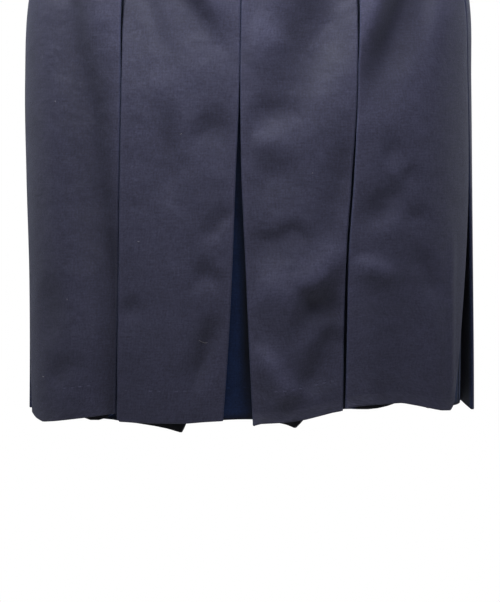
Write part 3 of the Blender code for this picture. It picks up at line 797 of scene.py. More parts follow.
def grid_piece(name, points, values, uv):
    """A cut of cloth as a grid, moved onto its form, with its cut's measures as its UV map."""
    rows, columns = points.shape[:2]
    bm = bmesh.new()
    bmesh.ops.create_grid(bm, x_segments=columns - 1, y_segments=rows - 1, size=0.5)
    flat = np.array([vert.co[:] for vert in bm.verts])
    column = np.rint((flat[:, 0] + 0.5) * (columns - 1)).astype(int)
    row = np.rint((0.5 - flat[:, 1]) * (rows - 1)).astype(int)
    for vert, point in zip(bm.verts, points[row, column]):
        vert.co = point
    bmesh.ops.recalc_face_normals(bm, faces=bm.faces[:])
    face = bm.faces[:][len(bm.faces) // 2]
    normals = outward(points)
    index = face.verts[0].index
    if face.normal.dot(Vector(normals[row[index], column[index]])) < 0:
        bmesh.ops.reverse_faces(bm, faces=bm.faces[:])
    mesh = mesh_from(name, bm)
    corner = np.empty(len(mesh.loops), dtype=np.int32)
    mesh.loops.foreach_get("vertex_index", corner)
    cut = mesh.uv_layers.new(name="cut")
    cut.data.foreach_set("uv", uv[row, column][corner].astype(np.float32).ravel())
    for key, value in values.items():
        layer = mesh.attributes.new(key, "FLOAT", "POINT")
        layer.data.foreach_set("value", value[row, column].astype(np.float32).ravel())
    mesh.shade_smooth()
    return link(name, mesh)


def wall_thickness(piece, thickness):
    """Gives a surface the thickness of cloth, to both sides."""
    solid = piece.modifiers.new("Cloth", "SOLIDIFY")
    solid.thickness = thickness
    solid.offset = 0.0
    return solid


def measures(points):
    """Lengths across and down the cloth at every point, measured over its surface."""
    across = np.linalg.norm(np.diff(points, axis=1), axis=-1)
    across = np.concatenate([np.zeros((len(points), 1)), np.cumsum(across, axis=1)], axis=1)
    across -= across[:, across.shape[1] // 2][:, None]
    down = np.linalg.norm(np.diff(points, axis=0), axis=-1).mean(axis=1)
    down = np.concatenate([[0.0], np.cumsum(down)])
    return np.stack([across, np.broadcast_to(down[:, None], across.shape)], axis=-1)


def add_block(bm, size, centre, matrix, edge):
    """A small block with rounded edges, placed by a frame."""
    made = bmesh.ops.create_cube(bm, size=1.0)["verts"]
    sized = Matrix.Translation(centre) @ Matrix.Diagonal((*size, 1.0))
    bmesh.ops.transform(bm, matrix=sized, verts=made)
    if edge:
        new = round_edges(bm, made, edge, 2)
        made = [vert for vert in made if vert.is_valid]
        made = list(dict.fromkeys(made + [vert for face in new for vert in face.verts]))
    bmesh.ops.transform(bm, matrix=matrix, verts=made)


def round_edges(bm, verts, radius, segments):
    """Rounds every edge between some vertices, and gives the new faces."""
    edges = list(dict.fromkeys(edge for vert in verts for edge in vert.link_edges))
    return bmesh.ops.bevel(bm, geom=edges, offset=radius, segments=segments, profile=0.5,
                           affect="EDGES", material=-1)["faces"]


def add_rod(bm, radius, length_along, centre, matrix, sides, inner=None):
    """A rod along a frame's X, or a ring with a hole of the inner radius."""
    made = bmesh.ops.create_cone(bm, cap_ends=True, segments=sides, radius1=radius,
                                 radius2=radius, depth=length_along)["verts"]
    turned = Matrix.Translation(centre) @ Matrix.Rotation(math.pi / 2, 4, "Y")
    bmesh.ops.transform(bm, matrix=turned, verts=made)
    if inner:
        faces = dict.fromkeys(face for vert in made for face in vert.link_faces)
        caps = [face for face in faces if len(face.verts) == sides]
        for cap in caps:
            ring = bmesh.ops.inset_region(bm, faces=[cap], thickness=radius - inner)["faces"]
            made += [vert for face in ring for vert in face.verts]
        rims = [edge for cap in caps for edge in cap.edges]
        bmesh.ops.delete(bm, geom=caps, context="FACES_ONLY")
        bmesh.ops.bridge_loops(bm, edges=rims)
    bmesh.ops.transform(bm, matrix=matrix, verts=list(dict.fromkeys(made)))


def finish_mesh(name, bm, look, body):
    """Turns a bmesh into a shaded piece that rides on a body."""
    bmesh.ops.recalc_face_normals(bm, faces=bm.faces[:])
    mesh = mesh_from(name, bm)
    mesh.shade_smooth()
    mesh.set_sharp_from_angle(angle=SHARP_ANGLE)
    mesh.materials.append(look)
    piece = link(name, mesh)
    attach(piece, body)
    return piece


def add_node(tree, kind, settings=None, inputs=None):
    """Adds a node, sets its settings, and sets or links its inputs."""
    node = tree.nodes.new(kind)
    for key, value in (settings or {}).items():
        setattr(node, key, value)
    for key, value in (inputs or {}).items():
        if isinstance(value, bpy.types.NodeSocket):
            tree.links.new(value, node.inputs[key])
        else:
            node.inputs[key].default_value = value
    return node


def new_material(name, constants):
    """A node material whose Principled shader has some constants, its tree and that shader."""
    made = bpy.data.materials.new(name)
    made.use_nodes = True
    shader = made.node_tree.nodes["Principled BSDF"]
    for key, value in constants.items():
        shader.inputs[key].default_value = value
    return made, made.node_tree, shader


# ---------------------------------------------------------------- materials

def wool_twill(name, cloth, deep, painted_shade_start):
    """Worsted wool twill with a brushed face.

    Fine diagonal ribs and a soft nap: matt, with a bluish sheen on the panels that the air and
    the iron reach; inside the pleats the navy is deeper, partly dye still unfaded and partly
    painted shade, and painted shadow where hardly any light comes. Crease troughs are painted
    darker and ridges lighter, and folded edges lighter, partly wear and partly painted sheen.
    The real ribs, 0.5 mm apart, are drawn 0.9 mm apart so that they show.
    """
    made, tree, shader = new_material(name, {
        "Specular IOR Level": 0.38, "Sheen Weight": 0.10, "Sheen Roughness": 0.45,
        "Sheen Tint": (0.80, 0.85, 1.0, 1.0)})
    cut = add_node(tree, "ShaderNodeUVMap", {"uv_map": "cut"}).outputs["UV"]
    hidden, worn, hollow, above_hem = (
        add_node(tree, "ShaderNodeAttribute", {"attribute_name": key}).outputs["Fac"]
        for key in ("hidden", "worn", "hollow", "above_hem"))
    nap, cloud, ripple = (
        add_node(tree, "ShaderNodeTexNoise", None, {
            "Vector": cut, "Scale": 1 / size, "Detail": detail, "Roughness": rough}).outputs["Fac"]
        for size, detail, rough in (
            (cloth.nap_grain, 3.0, 0.6), (cloth.cloud_size, 2.0, 0.5),
            (cloth.ripple_size, 3.0, 0.45)))
    slubs = [
        add_node(tree, "ShaderNodeTexNoise", None, {
            "Vector": add_node(tree, "ShaderNodeVectorMath", {"operation": "MULTIPLY"}, {
                0: cut, 1: stretch}).outputs[0],
            "Scale": 1 / cloth.slub_width, "Detail": 2.0}).outputs["Fac"]
        for stretch in ((SLUB_STRETCH, 1.0, 1.0), (1.0, SLUB_STRETCH, 1.0))
    ]
    slub = add_node(tree, "ShaderNodeMath", {"operation": "ADD"}, {0: slubs[0], 1: slubs[1]})
    stitch = hem_stitches(tree, cut, above_hem, cloth)

    # the dye turns to the deeper navy inside open pleats (partly unfaded dye, partly painted
    # shade), then to the painted shadow colour where hardly any light comes
    dye = (*cloth.face_colour, 1.0)
    for dye_and_shade, low, high in ((deep, 0.0, DEEP), (cloth.painted_shade_colour, painted_shade_start, DARK)):
        share = add_node(tree, "ShaderNodeMapRange", None, {
            "Value": hidden, "From Min": low, "From Max": high}).outputs["Result"]
        dye = add_node(tree, "ShaderNodeMix", {"data_type": "RGBA"}, {
            "Factor": share, "A": dye, "B": (*dye_and_shade, 1.0)}).outputs["Result"]
    # nap, clouds and slubs vary the tone at random; worn paints folded edges lighter (worn wool and
    # painted sheen), the crease value paints troughs darker and ridges lighter (painted shade and
    # light), and the stitch dimples get a painted highlight
    tone = 1.0
    for pattern, (low, high, at_low, at_high) in (
            (nap, NAP_TONE), (cloud, CLOUD_TONE), (slub.outputs[0], SLUB_TONE),
            (worn, WORN_AND_SHEEN_TONE), (hollow, CREASE_SHADE_TONE), (stitch, STITCH_HIGHLIGHT_TONE)):
        light = add_node(tree, "ShaderNodeMapRange", None, {
            "Value": pattern, "From Min": low, "From Max": high,
            "To Min": at_low, "To Max": at_high}).outputs["Result"]
        tone = add_node(tree, "ShaderNodeMath", {"operation": "MULTIPLY"}, {
            0: tone, 1: light}).outputs[0]
    colour = add_node(tree, "ShaderNodeVectorMath", {"operation": "SCALE"}, {
        0: dye, "Scale": tone}).outputs[0]
    tree.links.new(colour, shader.inputs["Base Color"])

    turned = add_node(tree, "ShaderNodeMapping", None, {
        "Vector": cut, "Rotation": (0.0, 0.0, RIB_SLANT)}).outputs["Vector"]
    ribs = add_node(tree, "ShaderNodeTexWave", {"bands_direction": "X"}, {
        "Vector": turned, "Scale": WAVE_PERIOD / cloth.rib_pitch, "Distortion": 1.2,
        "Detail": 1.0, "Detail Scale": 2.0}).outputs["Fac"]
    weave = add_node(tree, "ShaderNodeMath", {"operation": "MULTIPLY_ADD"}, {
        0: nap, 1: 0.8, 2: ribs}).outputs[0]
    bump = add_node(tree, "ShaderNodeBump", None, {
        "Height": weave, "Strength": 0.6, "Distance": WEAVE_RELIEF}).outputs["Normal"]
    bump = add_node(tree, "ShaderNodeBump", None, {
        "Height": ripple, "Strength": 1.0, "Distance": cloth.ripple_height,
        "Normal": bump}).outputs["Normal"]
    bump = add_node(tree, "ShaderNodeBump", {"invert": True}, {
        "Height": stitch, "Strength": 0.6, "Distance": STITCH_RELIEF,
        "Normal": bump}).outputs["Normal"]
    tree.links.new(bump, shader.inputs["Normal"])
    rough = add_node(tree, "ShaderNodeMapRange", None, {
        "Value": hidden, "To Min": 0.58, "To Max": 0.90}).outputs["Result"]
    tree.links.new(rough, shader.inputs["Roughness"])
    return made


def hem_stitches(tree, cut, above_hem, cloth):
    """A row of small uneven dimples where the turned-up hem is caught to the face."""
    across = add_node(tree, "ShaderNodeSeparateXYZ", None, {0: cut}).outputs["X"]
    beat = add_node(tree, "ShaderNodeMath", {"operation": "PINGPONG"}, {
        0: across, 1: cloth.stitch_pitch / 2}).outputs[0]
    off = add_node(tree, "ShaderNodeMath", {"operation": "SUBTRACT"}, {
        0: above_hem, 1: cloth.hem_turn - STITCH_BELOW}).outputs[0]
    off = add_node(tree, "ShaderNodeMath", {"operation": "ABSOLUTE"}, {0: off}).outputs[0]
    patchy = add_node(tree, "ShaderNodeTexNoise", None, {
        "Vector": cut, "Scale": 1 / STITCH_PATCH, "Detail": 1.0}).outputs["Fac"]
    dimple = add_node(tree, "ShaderNodeMapRange", None, {
        "Value": patchy, "From Min": STITCH_SHOWS[0],
        "From Max": STITCH_SHOWS[1]}).outputs["Result"]
    for away, (near, far) in ((beat, STITCH_LONG), (off, STITCH_TALL)):
        inside = add_node(tree, "ShaderNodeMapRange", {"interpolation_type": "SMOOTHSTEP"}, {
            "Value": away, "From Min": near, "From Max": far, "To Min": 1.0, "To Max": 0.0})
        dimple = add_node(tree, "ShaderNodeMath", {"operation": "MULTIPLY"}, {
            0: dimple, 1: inside.outputs["Result"]}).outputs[0]
    return dimple


def woven_tape(name, colour):
    """Polyester zip tape in a herringbone too fine to see, smoother than the wool."""
    made, tree, shader = new_material(name, {"Base Color": (*colour, 1.0), "Roughness": 0.65})
    cut = add_node(tree, "ShaderNodeUVMap", {"uv_map": "cut"}).outputs["UV"]
    threads = add_node(tree, "ShaderNodeTexWave", {"bands_direction": "Y"}, {
        "Vector": cut, "Scale": WAVE_PERIOD / TAPE_THREAD, "Distortion": 0.6})
    bump = add_node(tree, "ShaderNodeBump", None, {
        "Height": threads.outputs["Fac"], "Strength": 0.4, "Distance": TAPE_RELIEF})
    tree.links.new(bump.outputs["Normal"], shader.inputs["Normal"])
    return made


def moulded_acetal(name, colour):
    """Moulded acetal teeth: semi-matt, with the faint waviness of a small moulding."""
    made, tree, shader = new_material(name, {"Base Color": (*colour, 1.0), "Roughness": 0.42})
    at = add_node(tree, "ShaderNodeTexCoord").outputs["Object"]
    grain = add_node(tree, "ShaderNodeTexNoise", None, {
        "Vector": at, "Scale": 1 / ACETAL_GRAIN, "Detail": 2.0})
    bump = add_node(tree, "ShaderNodeBump", None, {
        "Height": grain.outputs["Fac"], "Strength": 0.25, "Distance": ACETAL_RELIEF})
    tree.links.new(bump.outputs["Normal"], shader.inputs["Normal"])
    return made


def lacquered_zinc(name, colour, worn):
    """Die-cast zinc under dark lacquer: low gloss, rubbed a little lighter here and there."""
    made, tree, shader = new_material(name, {"Metallic": 1.0, "Roughness": 0.38})
    at = add_node(tree, "ShaderNodeTexCoord").outputs["Object"]
    rubbed = add_node(tree, "ShaderNodeTexNoise", None, {
        "Vector": at, "Scale": 1 / RUBBED_PATCH, "Detail": 4.0})
    share = add_node(tree, "ShaderNodeMapRange", None, {
        "Value": rubbed.outputs["Fac"], "From Min": 0.55, "From Max": 0.72})
    colours = add_node(tree, "ShaderNodeMix", {"data_type": "RGBA"}, {
        "Factor": share.outputs["Result"], "A": (*colour, 1.0), "B": (*worn, 1.0)})
    tree.links.new(colours.outputs["Result"], shader.inputs["Base Color"])
    return made


def lint_fibre(name, colour):
    """Loose pale fibre caught in the nap."""
    made, tree, shader = new_material(name, {"Roughness": 0.9})
    at = add_node(tree, "ShaderNodeTexCoord").outputs["Object"]
    twist = add_node(tree, "ShaderNodeTexNoise", None, {"Vector": at, "Scale": 1 / FIBRE_TWIST})
    tone = add_node(tree, "ShaderNodeVectorMath", {"operation": "SCALE"}, {
        0: colour, "Scale": twist.outputs["Fac"]})
    tree.links.new(tone.outputs[0], shader.inputs["Base Color"])
    return made


def painted_board(name, colour, seen):
    """A matt white studio floor, evenly lit where it is looked at."""
    made, tree, shader = new_material(name, {"Base Color": (*colour, 1.0), "Roughness": 0.9})
    glow = add_node(tree, "ShaderNodeEmission", None, {
        "Color": (1.0, 1.0, 1.0, 1.0), "Strength": seen})
    path = add_node(tree, "ShaderNodeLightPath")
    both = add_node(tree, "ShaderNodeMixShader", None, {
        0: path.outputs["Is Camera Ray"], 1: shader.outputs[0], 2: glow.outputs[0]})
    tree.links.new(both.outputs[0], tree.nodes["Material Output"].inputs["Surface"])
    return made


# ---------------------------------------------------------------- sizes and colours

def length(**settings):
    """A length setting, shown to a tenth of a millimetre."""
    return FloatProperty(precision=4, unit="LENGTH", subtype="DISTANCE", **settings)


def power(**settings):
    """A light's power setting."""
    return FloatProperty(unit="POWER", **settings)


def hex_colour(code, **settings):
    """A colour setting whose default is an sRGB hex colour."""
    return FloatVectorProperty(
        default=linear(code), subtype="COLOR", size=3, min=0.0, max=1.0, **settings)


class SKIRT_PG_cloth(bpy.types.PropertyGroup):
    """Sizes and colours of the cloth."""
    thickness: length(
        name="Thickness", description="Thickness of the wool", default=0.0008,
        min=0.0004, max=0.002)
    hem_turn: length(
        name="Hem turn-up", description="Height of the turned-up hem", default=0.034)
    hem_gap: length(
        name="Hem gap", description="From the face's middle to the turn-up's middle",
        default=0.0009)
    crease_strength: FloatProperty(
        name="Creases", description="Share of each crease's full height", default=1.15,
        min=0.0, max=2.0, subtype="FACTOR")
    # creases are painted darkest at this trough depth, and as much lighter on ridges as high
    deep_crease: length(
        name="Deep crease", description="Depth at which a crease is at its darkest",
        default=0.006)
    rib_pitch: length(
        name="Rib pitch", description="Distance between the twill's ribs", default=0.0009)
    slub_width: length(
        name="Slub width", description="Width of the thicker threads in the weave",
        default=0.0014)
    nap_grain: length(
        name="Nap grain", description="Size of the tufts in the brushed nap", default=0.0020)
    cloud_size: length(
        name="Cloud size", description="Size of the uneven patches in the dye", default=0.030)
    ripple_size: length(
        name="Ripple size", description="Size of the faint unevenness left by wear",
        default=0.022)
    ripple_height: length(
        name="Ripple height", description="Height of that unevenness", default=0.0012)
    stitch_pitch: length(
        name="Hem stitches", description="Distance between the hem's catch stitches",
        default=0.0085)
    panel_steps: IntProperty(
        name="Panel columns", description="Columns across each panel", default=40, min=8)
    fold_steps: IntProperty(
        name="Fold columns", description="Columns round each fold", default=5, min=3)
    return_steps: IntProperty(
        name="Return columns", description="Columns across each return", default=5, min=2)
    under_steps: IntProperty(
        name="Underlay columns", description="Columns across each underlay, an odd number",
        default=13, min=5)
    row_height: length(
        name="Row height", description="Height of the rows below the hip", default=0.0040)
    face_colour: hex_colour(
        "#373647", name="Face", description="Navy of the panels")
    # the deeper navy inside the pleats: partly dye the air and iron haven't faded, partly painted
    # shade where the panels' sheen and light don't reach
    unfaded_and_shade_colour: hex_colour(
        "#13274B", name="Deep", description="Unfaded navy inside the pleats")
    # painted shadow: the near-black that cloth takes where hardly any light reaches it
    painted_shade_colour: hex_colour(
        "#08080C", name="Dark", description="Cloth that hardly any light reaches")
    lint_colour: hex_colour(
        "#B9B4B4", name="Lint", description="Colour of the loose fibres")


class SKIRT_PG_closure(bpy.types.PropertyGroup):
    """Sizes and colours of the waistband and the zip."""
    band_columns: IntProperty(
        name="Band columns", description="Columns round the waistband", default=260, min=40)
    band_fold: length(
        name="Band fold", description="Radius of the waistband's top fold", default=0.0012)
    tape_thick: length(
        name="Tape", description="Thickness of the zip's tape", default=0.0005)
    tape_colour: hex_colour(
        "#20222F", name="Tape colour", description="Navy of the zip's tape")
    teeth_colour: hex_colour(
        "#262938", name="Teeth colour", description="Navy of the teeth")
    metal_colour: hex_colour(
        "#4A4C58", name="Metal colour", description="Lacquer of the slider and tab")
    rubbed_colour: hex_colour(
        "#7C7E88", name="Rubbed colour", description="Where the lacquer is rubbed")


class SKIRT_PG_stage(bpy.types.PropertyGroup):
    """Floor, light and camera."""
    floor_drop: length(
        name="Floor", description="How far the floor lies below the waist", default=1.03)
    floor_size: length(
        name="Floor size", description="Half the width of the floor", default=12.0)
    floor_colour: hex_colour(
        "#D8D8D8", name="Floor colour", description="Pale paint of the floor")
    key_power: power(
        name="Key light", description="Power of the overhead soft light", default=15.1)
    side_power: power(
        name="Side lights", description="Power of each of the two lights at the sides",
        default=2.0)
    back_power: power(
        name="Back light", description="Power of the soft light above the back", default=11.0)
    fill_power: power(
        name="Fill lights", description="Power of each of the two far lights, front and back",
        default=1.5)
    sky: FloatProperty(
        name="Sky", description="Strength of the even white surroundings", default=0.055)
    camera_back: length(
        name="Camera distance", description="From the skirt's axis to the camera", default=1.60)
    camera_down: length(
        name="Camera height", description="How far the camera lies below the waist",
        default=0.403)
    camera_pitch: FloatProperty(
        name="Camera pitch", description="How far the camera looks down",
        default=math.radians(4.5), unit="ROTATION", subtype="ANGLE")
    focal_length: FloatProperty(
        name="Focal length", description="Lens for a 36 mm long side", default=91.08,
        subtype="DISTANCE_CAMERA")


# ---------------------------------------------------------------- operators

class SKIRT_OT_walls(bpy.types.Operator):
    """Make the front and back walls of pleated cloth, with their creases and turned-up hem"""
    bl_idname = "skirt.walls"
    bl_label = "Cloth Walls"

    def execute(self, context):
        cloth = context.scene.skirt_cloth
        # the wrong side has no deeper navy, and its painted shadow starts only past UNDERLAY_SHADE
        looks = (wool_twill("worsted_wool_twill", cloth, cloth.unfaded_and_shade_colour, DEEP),
                 wool_twill("worsted_wool_wrong_side", cloth, cloth.face_colour, UNDERLAY_SHADE))
        for node, names, slot in (("front", FRONT, "navy_wool"), ("back", BACK, "navy_wool_back")):
            self.wall(node, names, slot, looks, cloth)
        return {"FINISHED"}

    def wall(self, node, names, slot, looks, cloth):
        """One wall, from under the waistband down, round its hem and up inside."""
        above = np.linspace(TOP_ROW, FINE_START, COARSE_ROWS)
        below = np.arange(FINE_START + cloth.row_height, FINE_END, cloth.row_height)
        depths = np.concatenate([above, below, LENGTH - np.array(LAST_ROWS)])
        face, hidden, along, lift = wall_points(names, depths, cloth)
        up = np.array([*TURNED_ROWS, cloth.hem_turn])
        inside = wall_points(names, (LENGTH - up)[::-1], cloth)[0][::-1]
        normal = outward(inside[::-1])[::-1]
        lower = face[-1] - face[-2]
        lower /= np.linalg.norm(lower, axis=-1, keepdims=True)
        half = cloth.hem_gap / 2
        bend = [
            face[-1] - normal[0] * half * (1 - math.cos(turn)) + lower * half * math.sin(turn)
            for turn in (math.pi / 3, 2 * math.pi / 3)
        ]
        turned = inside - normal * cloth.hem_gap
        points = np.concatenate([face, np.array(bend), turned])
        extra = (len(points) - len(face), face.shape[1])
        # the turned-up hem behind returns, inner folds and seams gets the painted shadow colour
        turned_hidden = np.where(hidden[-1] > UNDERLAY_SHADE, DARK, 0.0)
        shown = np.clip(1.0 - hidden, 0.0, 1.0)
        face_values = {
            "hidden": (hidden, np.tile(turned_hidden, (extra[0], 1))),
            # folded edges painted lighter, partly polish and wear, partly painted sheen
            "worn": (self.polish(names, depths, along) * shown, np.zeros(extra)),
            # painted shade in crease troughs and painted light on ridges, by the creases' height
            "hollow": (np.clip(-lift / cloth.deep_crease, -1.0, 1.0) * shown, np.zeros(extra)),
            "above_hem": (np.repeat((LENGTH - depths)[:, None], extra[1], axis=1),
                          np.full(extra, -1.0)),
        }
        values = {key: np.concatenate(parts) for key, parts in face_values.items()}
        uv = measures(points)
        piece = grid_piece(node + "_cloth", points, values, uv)
        for look in looks:
            piece.data.materials.append(look)
        wall_thickness(piece, cloth.thickness).material_offset = 1
        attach(piece, BODY)
        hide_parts(node)

    def polish(self, names, depths, along):
        """How close each point lies to a folded edge, which the iron has polished; there the wool
        is painted lighter, partly wear and partly painted sheen.
        """
        closeness = np.zeros_like(along)
        for first, second in zip(names, names[1:]):
            for name, side in ((first, 1), (second, 0)):
                edges = np.array([edge_at(name, side, depth) for depth in depths])[:, None]
                near = np.exp(-np.abs(wrapped(along - edges)) / POLISH_REACH)
                closeness = np.maximum(closeness, near)
        return closeness


class SKIRT_OT_waistband(bpy.types.Operator):
    """Make the folded waistband, parted at the zip"""
    bl_idname = "skirt.waistband"
    bl_label = "Waistband"

    def execute(self, context):
        cloth, closure = context.scene.skirt_cloth, context.scene.skirt_closure
        radius = closure.band_fold
        outer, inner = BAND_OUT + radius, BAND_OUT - radius
        fold = radius + BAND_ROW
        profile = [(BAND_HEIGHT + BAND_PAST_SEAM, outer - BAND_TUCK)]
        profile += [(depth, outer)
                    for depth in np.linspace(BAND_HEIGHT - BAND_ROW, fold, BAND_ROWS)]
        for turn in np.linspace(0.0, math.pi, BAND_FOLD_ROWS):
            profile.append((radius * (1 - math.sin(turn)) + cloth.thickness / 2,
                            BAND_OUT + radius * math.cos(turn)))
        profile += [(depth, inner)
                    for depth in np.linspace(fold, BAND_HEIGHT - BAND_SHORT, BAND_ROWS)]
        points = np.array([self.row(depth, out, closure) for depth, out in profile])
        shape = points.shape[:2]
        worn = np.zeros(shape)
        # the band's top fold painted lighter: wear and painted sheen
        worn[BAND_ROWS - 1:BAND_ROWS + 5] = BAND_POLISH
        values = {"hidden": np.zeros(shape), "worn": worn, "hollow": np.zeros(shape),
                  "above_hem": np.full(shape, -1.0)}
        uv = measures(points)
        piece = grid_piece("waistband_cloth", points, values, uv)
        piece.data.materials.append(bpy.data.materials["worsted_wool_twill"])
        wall_thickness(piece, cloth.thickness)
        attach(piece, BODY)
        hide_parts("waistband")
        return {"FINISHED"}

    def row(self, depth, out, closure):
        """One row of the band, from one side of the zip round to the other, its ends rounded in."""
        at = np.clip(depth, 0.0, LENGTH)
        scale = scale_at(at)
        half = (ZIP_WIDTH / 2 + SEAM_GAP) / scale
        middle = zip_middle(max(depth, BAND_HEIGHT))
        along = np.linspace(middle + half, middle - half + HIP_GIRTH, closure.band_columns)
        from_end = np.minimum(along - along[0], along[-1] - along) * scale
        rounding = 1 - (1 - np.clip(from_end / BAND_END, 0.0, 1.0)) ** 2
        closing = np.sqrt(np.clip(rounding, BAND_END_LEAST, 1.0))
        height, turns_along, turns_down = BAND_EASE
        ease = height * np.sin(along * turns_along) * np.sin(depth * turns_down)
        ease += BAND_SWAY[0] * np.sin(along * BAND_SWAY[1])
        return place(at, along, BAND_OUT + (out - BAND_OUT) * closing + ease * closing)


class SKIRT_OT_zip(bpy.types.Operator):
    """Make the zip's tape and its closed rows of teeth"""
    bl_idname = "skirt.zip"
    bl_label = "Zip Tape and Teeth"

    def execute(self, context):
        closure = context.scene.skirt_closure
        rows = []
        for depth in np.linspace(ZIP_TOP, ZIP_END - SEAM_GAP, TAPE_ROWS):
            half = ZIP_WIDTH / 2 / scale_at(depth)
            along = zip_middle(depth) + np.linspace(-half, half, TAPE_COLUMNS)
            rows.append(place(depth, along, ZIP_OUT - TAPE_BEHIND))
        points = np.array(rows)
        tape = grid_piece("zip_tape", points, {}, measures(points))
        tape.data.materials.append(woven_tape("polyester_zip_tape", closure.tape_colour))
        wall_thickness(tape, closure.tape_thick)
        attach(tape, BODY)
        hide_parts("zip")
        bm = bmesh.new()
        count = int((ZIP_END - SEAM_GAP - ZIP_TOP - TEETH_PITCH) / TEETH_PITCH)
        for k in range(count):
            for side in (-1, 1):
                # the two rows of teeth mesh, half a pitch apart
                depth = ZIP_TOP + TEETH_PITCH * (k + 0.75 + 0.25 * side)
                centre = (side * TOOTH_ASIDE, 0.0, TOOTH_OUT)
                add_block(bm, TOOTH, centre, zip_frame(depth, ZIP_OUT), TOOTH_EDGE)
        look = moulded_acetal("moulded_acetal_teeth", closure.teeth_colour)
        finish_mesh("zip_teeth", bm, look, BODY)
        return {"FINISHED"}


class SKIRT_OT_slider(bpy.types.Operator):
    """Make the zip's slider with its two lugs and pin"""
    bl_idname = "skirt.slider"
    bl_label = "Zip Slider"

    def execute(self, context):
        closure = context.scene.skirt_closure
        width, height, thick = SLIDER_SIZE
        matrix = zip_frame(SLIDER_DEPTH)
        bm = bmesh.new()
        body = bmesh.ops.create_cube(bm, size=1.0)["verts"]
        sized = Matrix.Diagonal((width, height, thick, 1.0))
        shape = Matrix.Translation((0.0, 0.0, thick / 2)) @ sized
        bmesh.ops.transform(bm, matrix=shape, verts=body)
        for vert in body:
            if vert.co.y < 0:
                vert.co.x *= SLIDER_LOWER
            if vert.co.z > thick / 2:
                vert.co.x *= SLIDER_FACE[0]
                vert.co.y *= SLIDER_FACE[1]
        round_edges(bm, body, SLIDER_EDGE, 3)
        bmesh.ops.transform(bm, matrix=matrix, verts=bm.verts[:])
        tall = PIN_HEIGHT + LUG_PAST_PIN
        for side in (-1, 1):
            centre = (side * LUG_PLACE, PIN_UP, thick - LUG_SUNK + tall / 2)
            add_block(bm, (LUG_WIDTH, LUG_HEIGHT, tall), centre, matrix, LUG_EDGE)
        add_rod(bm, PIN_RADIUS, PIN_LENGTH, (0.0, PIN_UP, thick + PIN_HEIGHT), matrix, PIN_SIDES)
        look = lacquered_zinc("lacquered_zinc_slider", closure.metal_colour, closure.rubbed_colour)
        piece = finish_mesh("slider", bm, look, BODY)
        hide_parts("zip_slider")
        return {"FINISHED"}


class SKIRT_OT_pull(bpy.types.Operator):
    """Make the pull tab that hangs from the slider's pin"""
    bl_idname = "skirt.pull"
    bl_label = "Zip Pull Tab"

    def execute(self, context):
        closure = context.scene.skirt_closure
        slider = zip_frame(SLIDER_DEPTH)
        point = slider @ Vector((0.0, PIN_UP, SLIDER_SIZE[2] + PIN_HEIGHT))
        along = Vector((slider[0][0], slider[1][0], 0.0)).normalized()
        up = Vector((0.0, 0.0, 1.0))
        out = along.cross(up)
        hinge = Matrix.Translation(point) @ Matrix((along, up, out)).transposed().to_4x4()
        bm = bmesh.new()
        add_rod(bm, EYE_RADIUS, EYE_LENGTH, (0.0, 0.0, 0.0), hinge, EYE_SIDES, EYE_HOLE)
        add_block(bm, NECK_SIZE, (0.0, -NECK_DOWN, 0.0), hinge, NECK_EDGE)
        plate = PULL_LENGTH - PLATE_DOWN
        middle = -PLATE_DOWN - plate / 2
        add_block(bm, (PULL_WIDTH, plate, PULL_THICK), (0.0, middle, 0.0), hinge, PULL_EDGE)
        for side in (-1, 1):
            centre = (side * (PULL_WIDTH / 2 - RIM_INSET), middle, PULL_THICK / 2)
            size = (RIM_WIDTH, plate - 2 * RIM_INSET, RIM_HEIGHT)
            add_block(bm, size, centre, hinge, None)
        look = lacquered_zinc("lacquered_zinc_tab", closure.metal_colour, closure.rubbed_colour)
        piece = finish_mesh("pull", bm, look, TAB_BODY)
        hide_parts("zip_pull")
        return {"FINISHED"}


class SKIRT_OT_lint(bpy.types.Operator):
    """Scatter the few loose fibres that lie on the cloth"""
    bl_idname = "skirt.lint"
    bl_label = "Lint"

    def execute(self, context):
        cloth = context.scene.skirt_cloth
        bm = bmesh.new()
        for panel, along, depth, size, turn in LINT:
            x, y = math.cos(math.radians(turn)), math.sin(math.radians(turn))
            line = [(along - x * size / 2, depth - y * size / 2),
                    (along + y * LINT_BEND, depth + x * LINT_BEND),
                    (along + x * size / 2, depth + y * size / 2)]
            self.fibre(bm, panel, line, LINT_RADIUS, cloth)
        self.fibre(bm, "front_2", HAIR_POINTS, HAIR_RADIUS, cloth)
        look = lint_fibre("loose_cotton_fibre", cloth.lint_colour)
        finish_mesh("lint", bm, look, BODY)
        return {"FINISHED"}

    def fibre(self, bm, panel, points, radius, cloth):
        """A thin round thread laid on the face of a panel through a few places."""
        line = [surface_point(panel, at * MM, deep * MM, cloth)
                for at, deep in smooth_line(points, FIBRE_POINTS)]
        rings = []
        for k, (here, normal) in enumerate(line):
            before, after = line[max(k - 1, 0)][0], line[min(k + 1, len(line) - 1)][0]
            ahead = (after - before).normalized()
            side = normal.cross(ahead).normalized()
            turned = Matrix((side, ahead.cross(side), ahead)).transposed().to_4x4()
            ring = bmesh.ops.create_circle(
                bm, segments=FIBRE_SIDES, radius=radius,
                matrix=Matrix.Translation(here + normal * radius) @ turned)["verts"]
            rings.append(list(dict.fromkeys(edge for vert in ring for edge in vert.link_edges)))
        for first, second in zip(rings, rings[1:]):
            bmesh.ops.bridge_loops(bm, edges=first + second)
        for ring in (rings[0], rings[-1]):
            bmesh.ops.edgeloop_fill(bm, edges=ring)


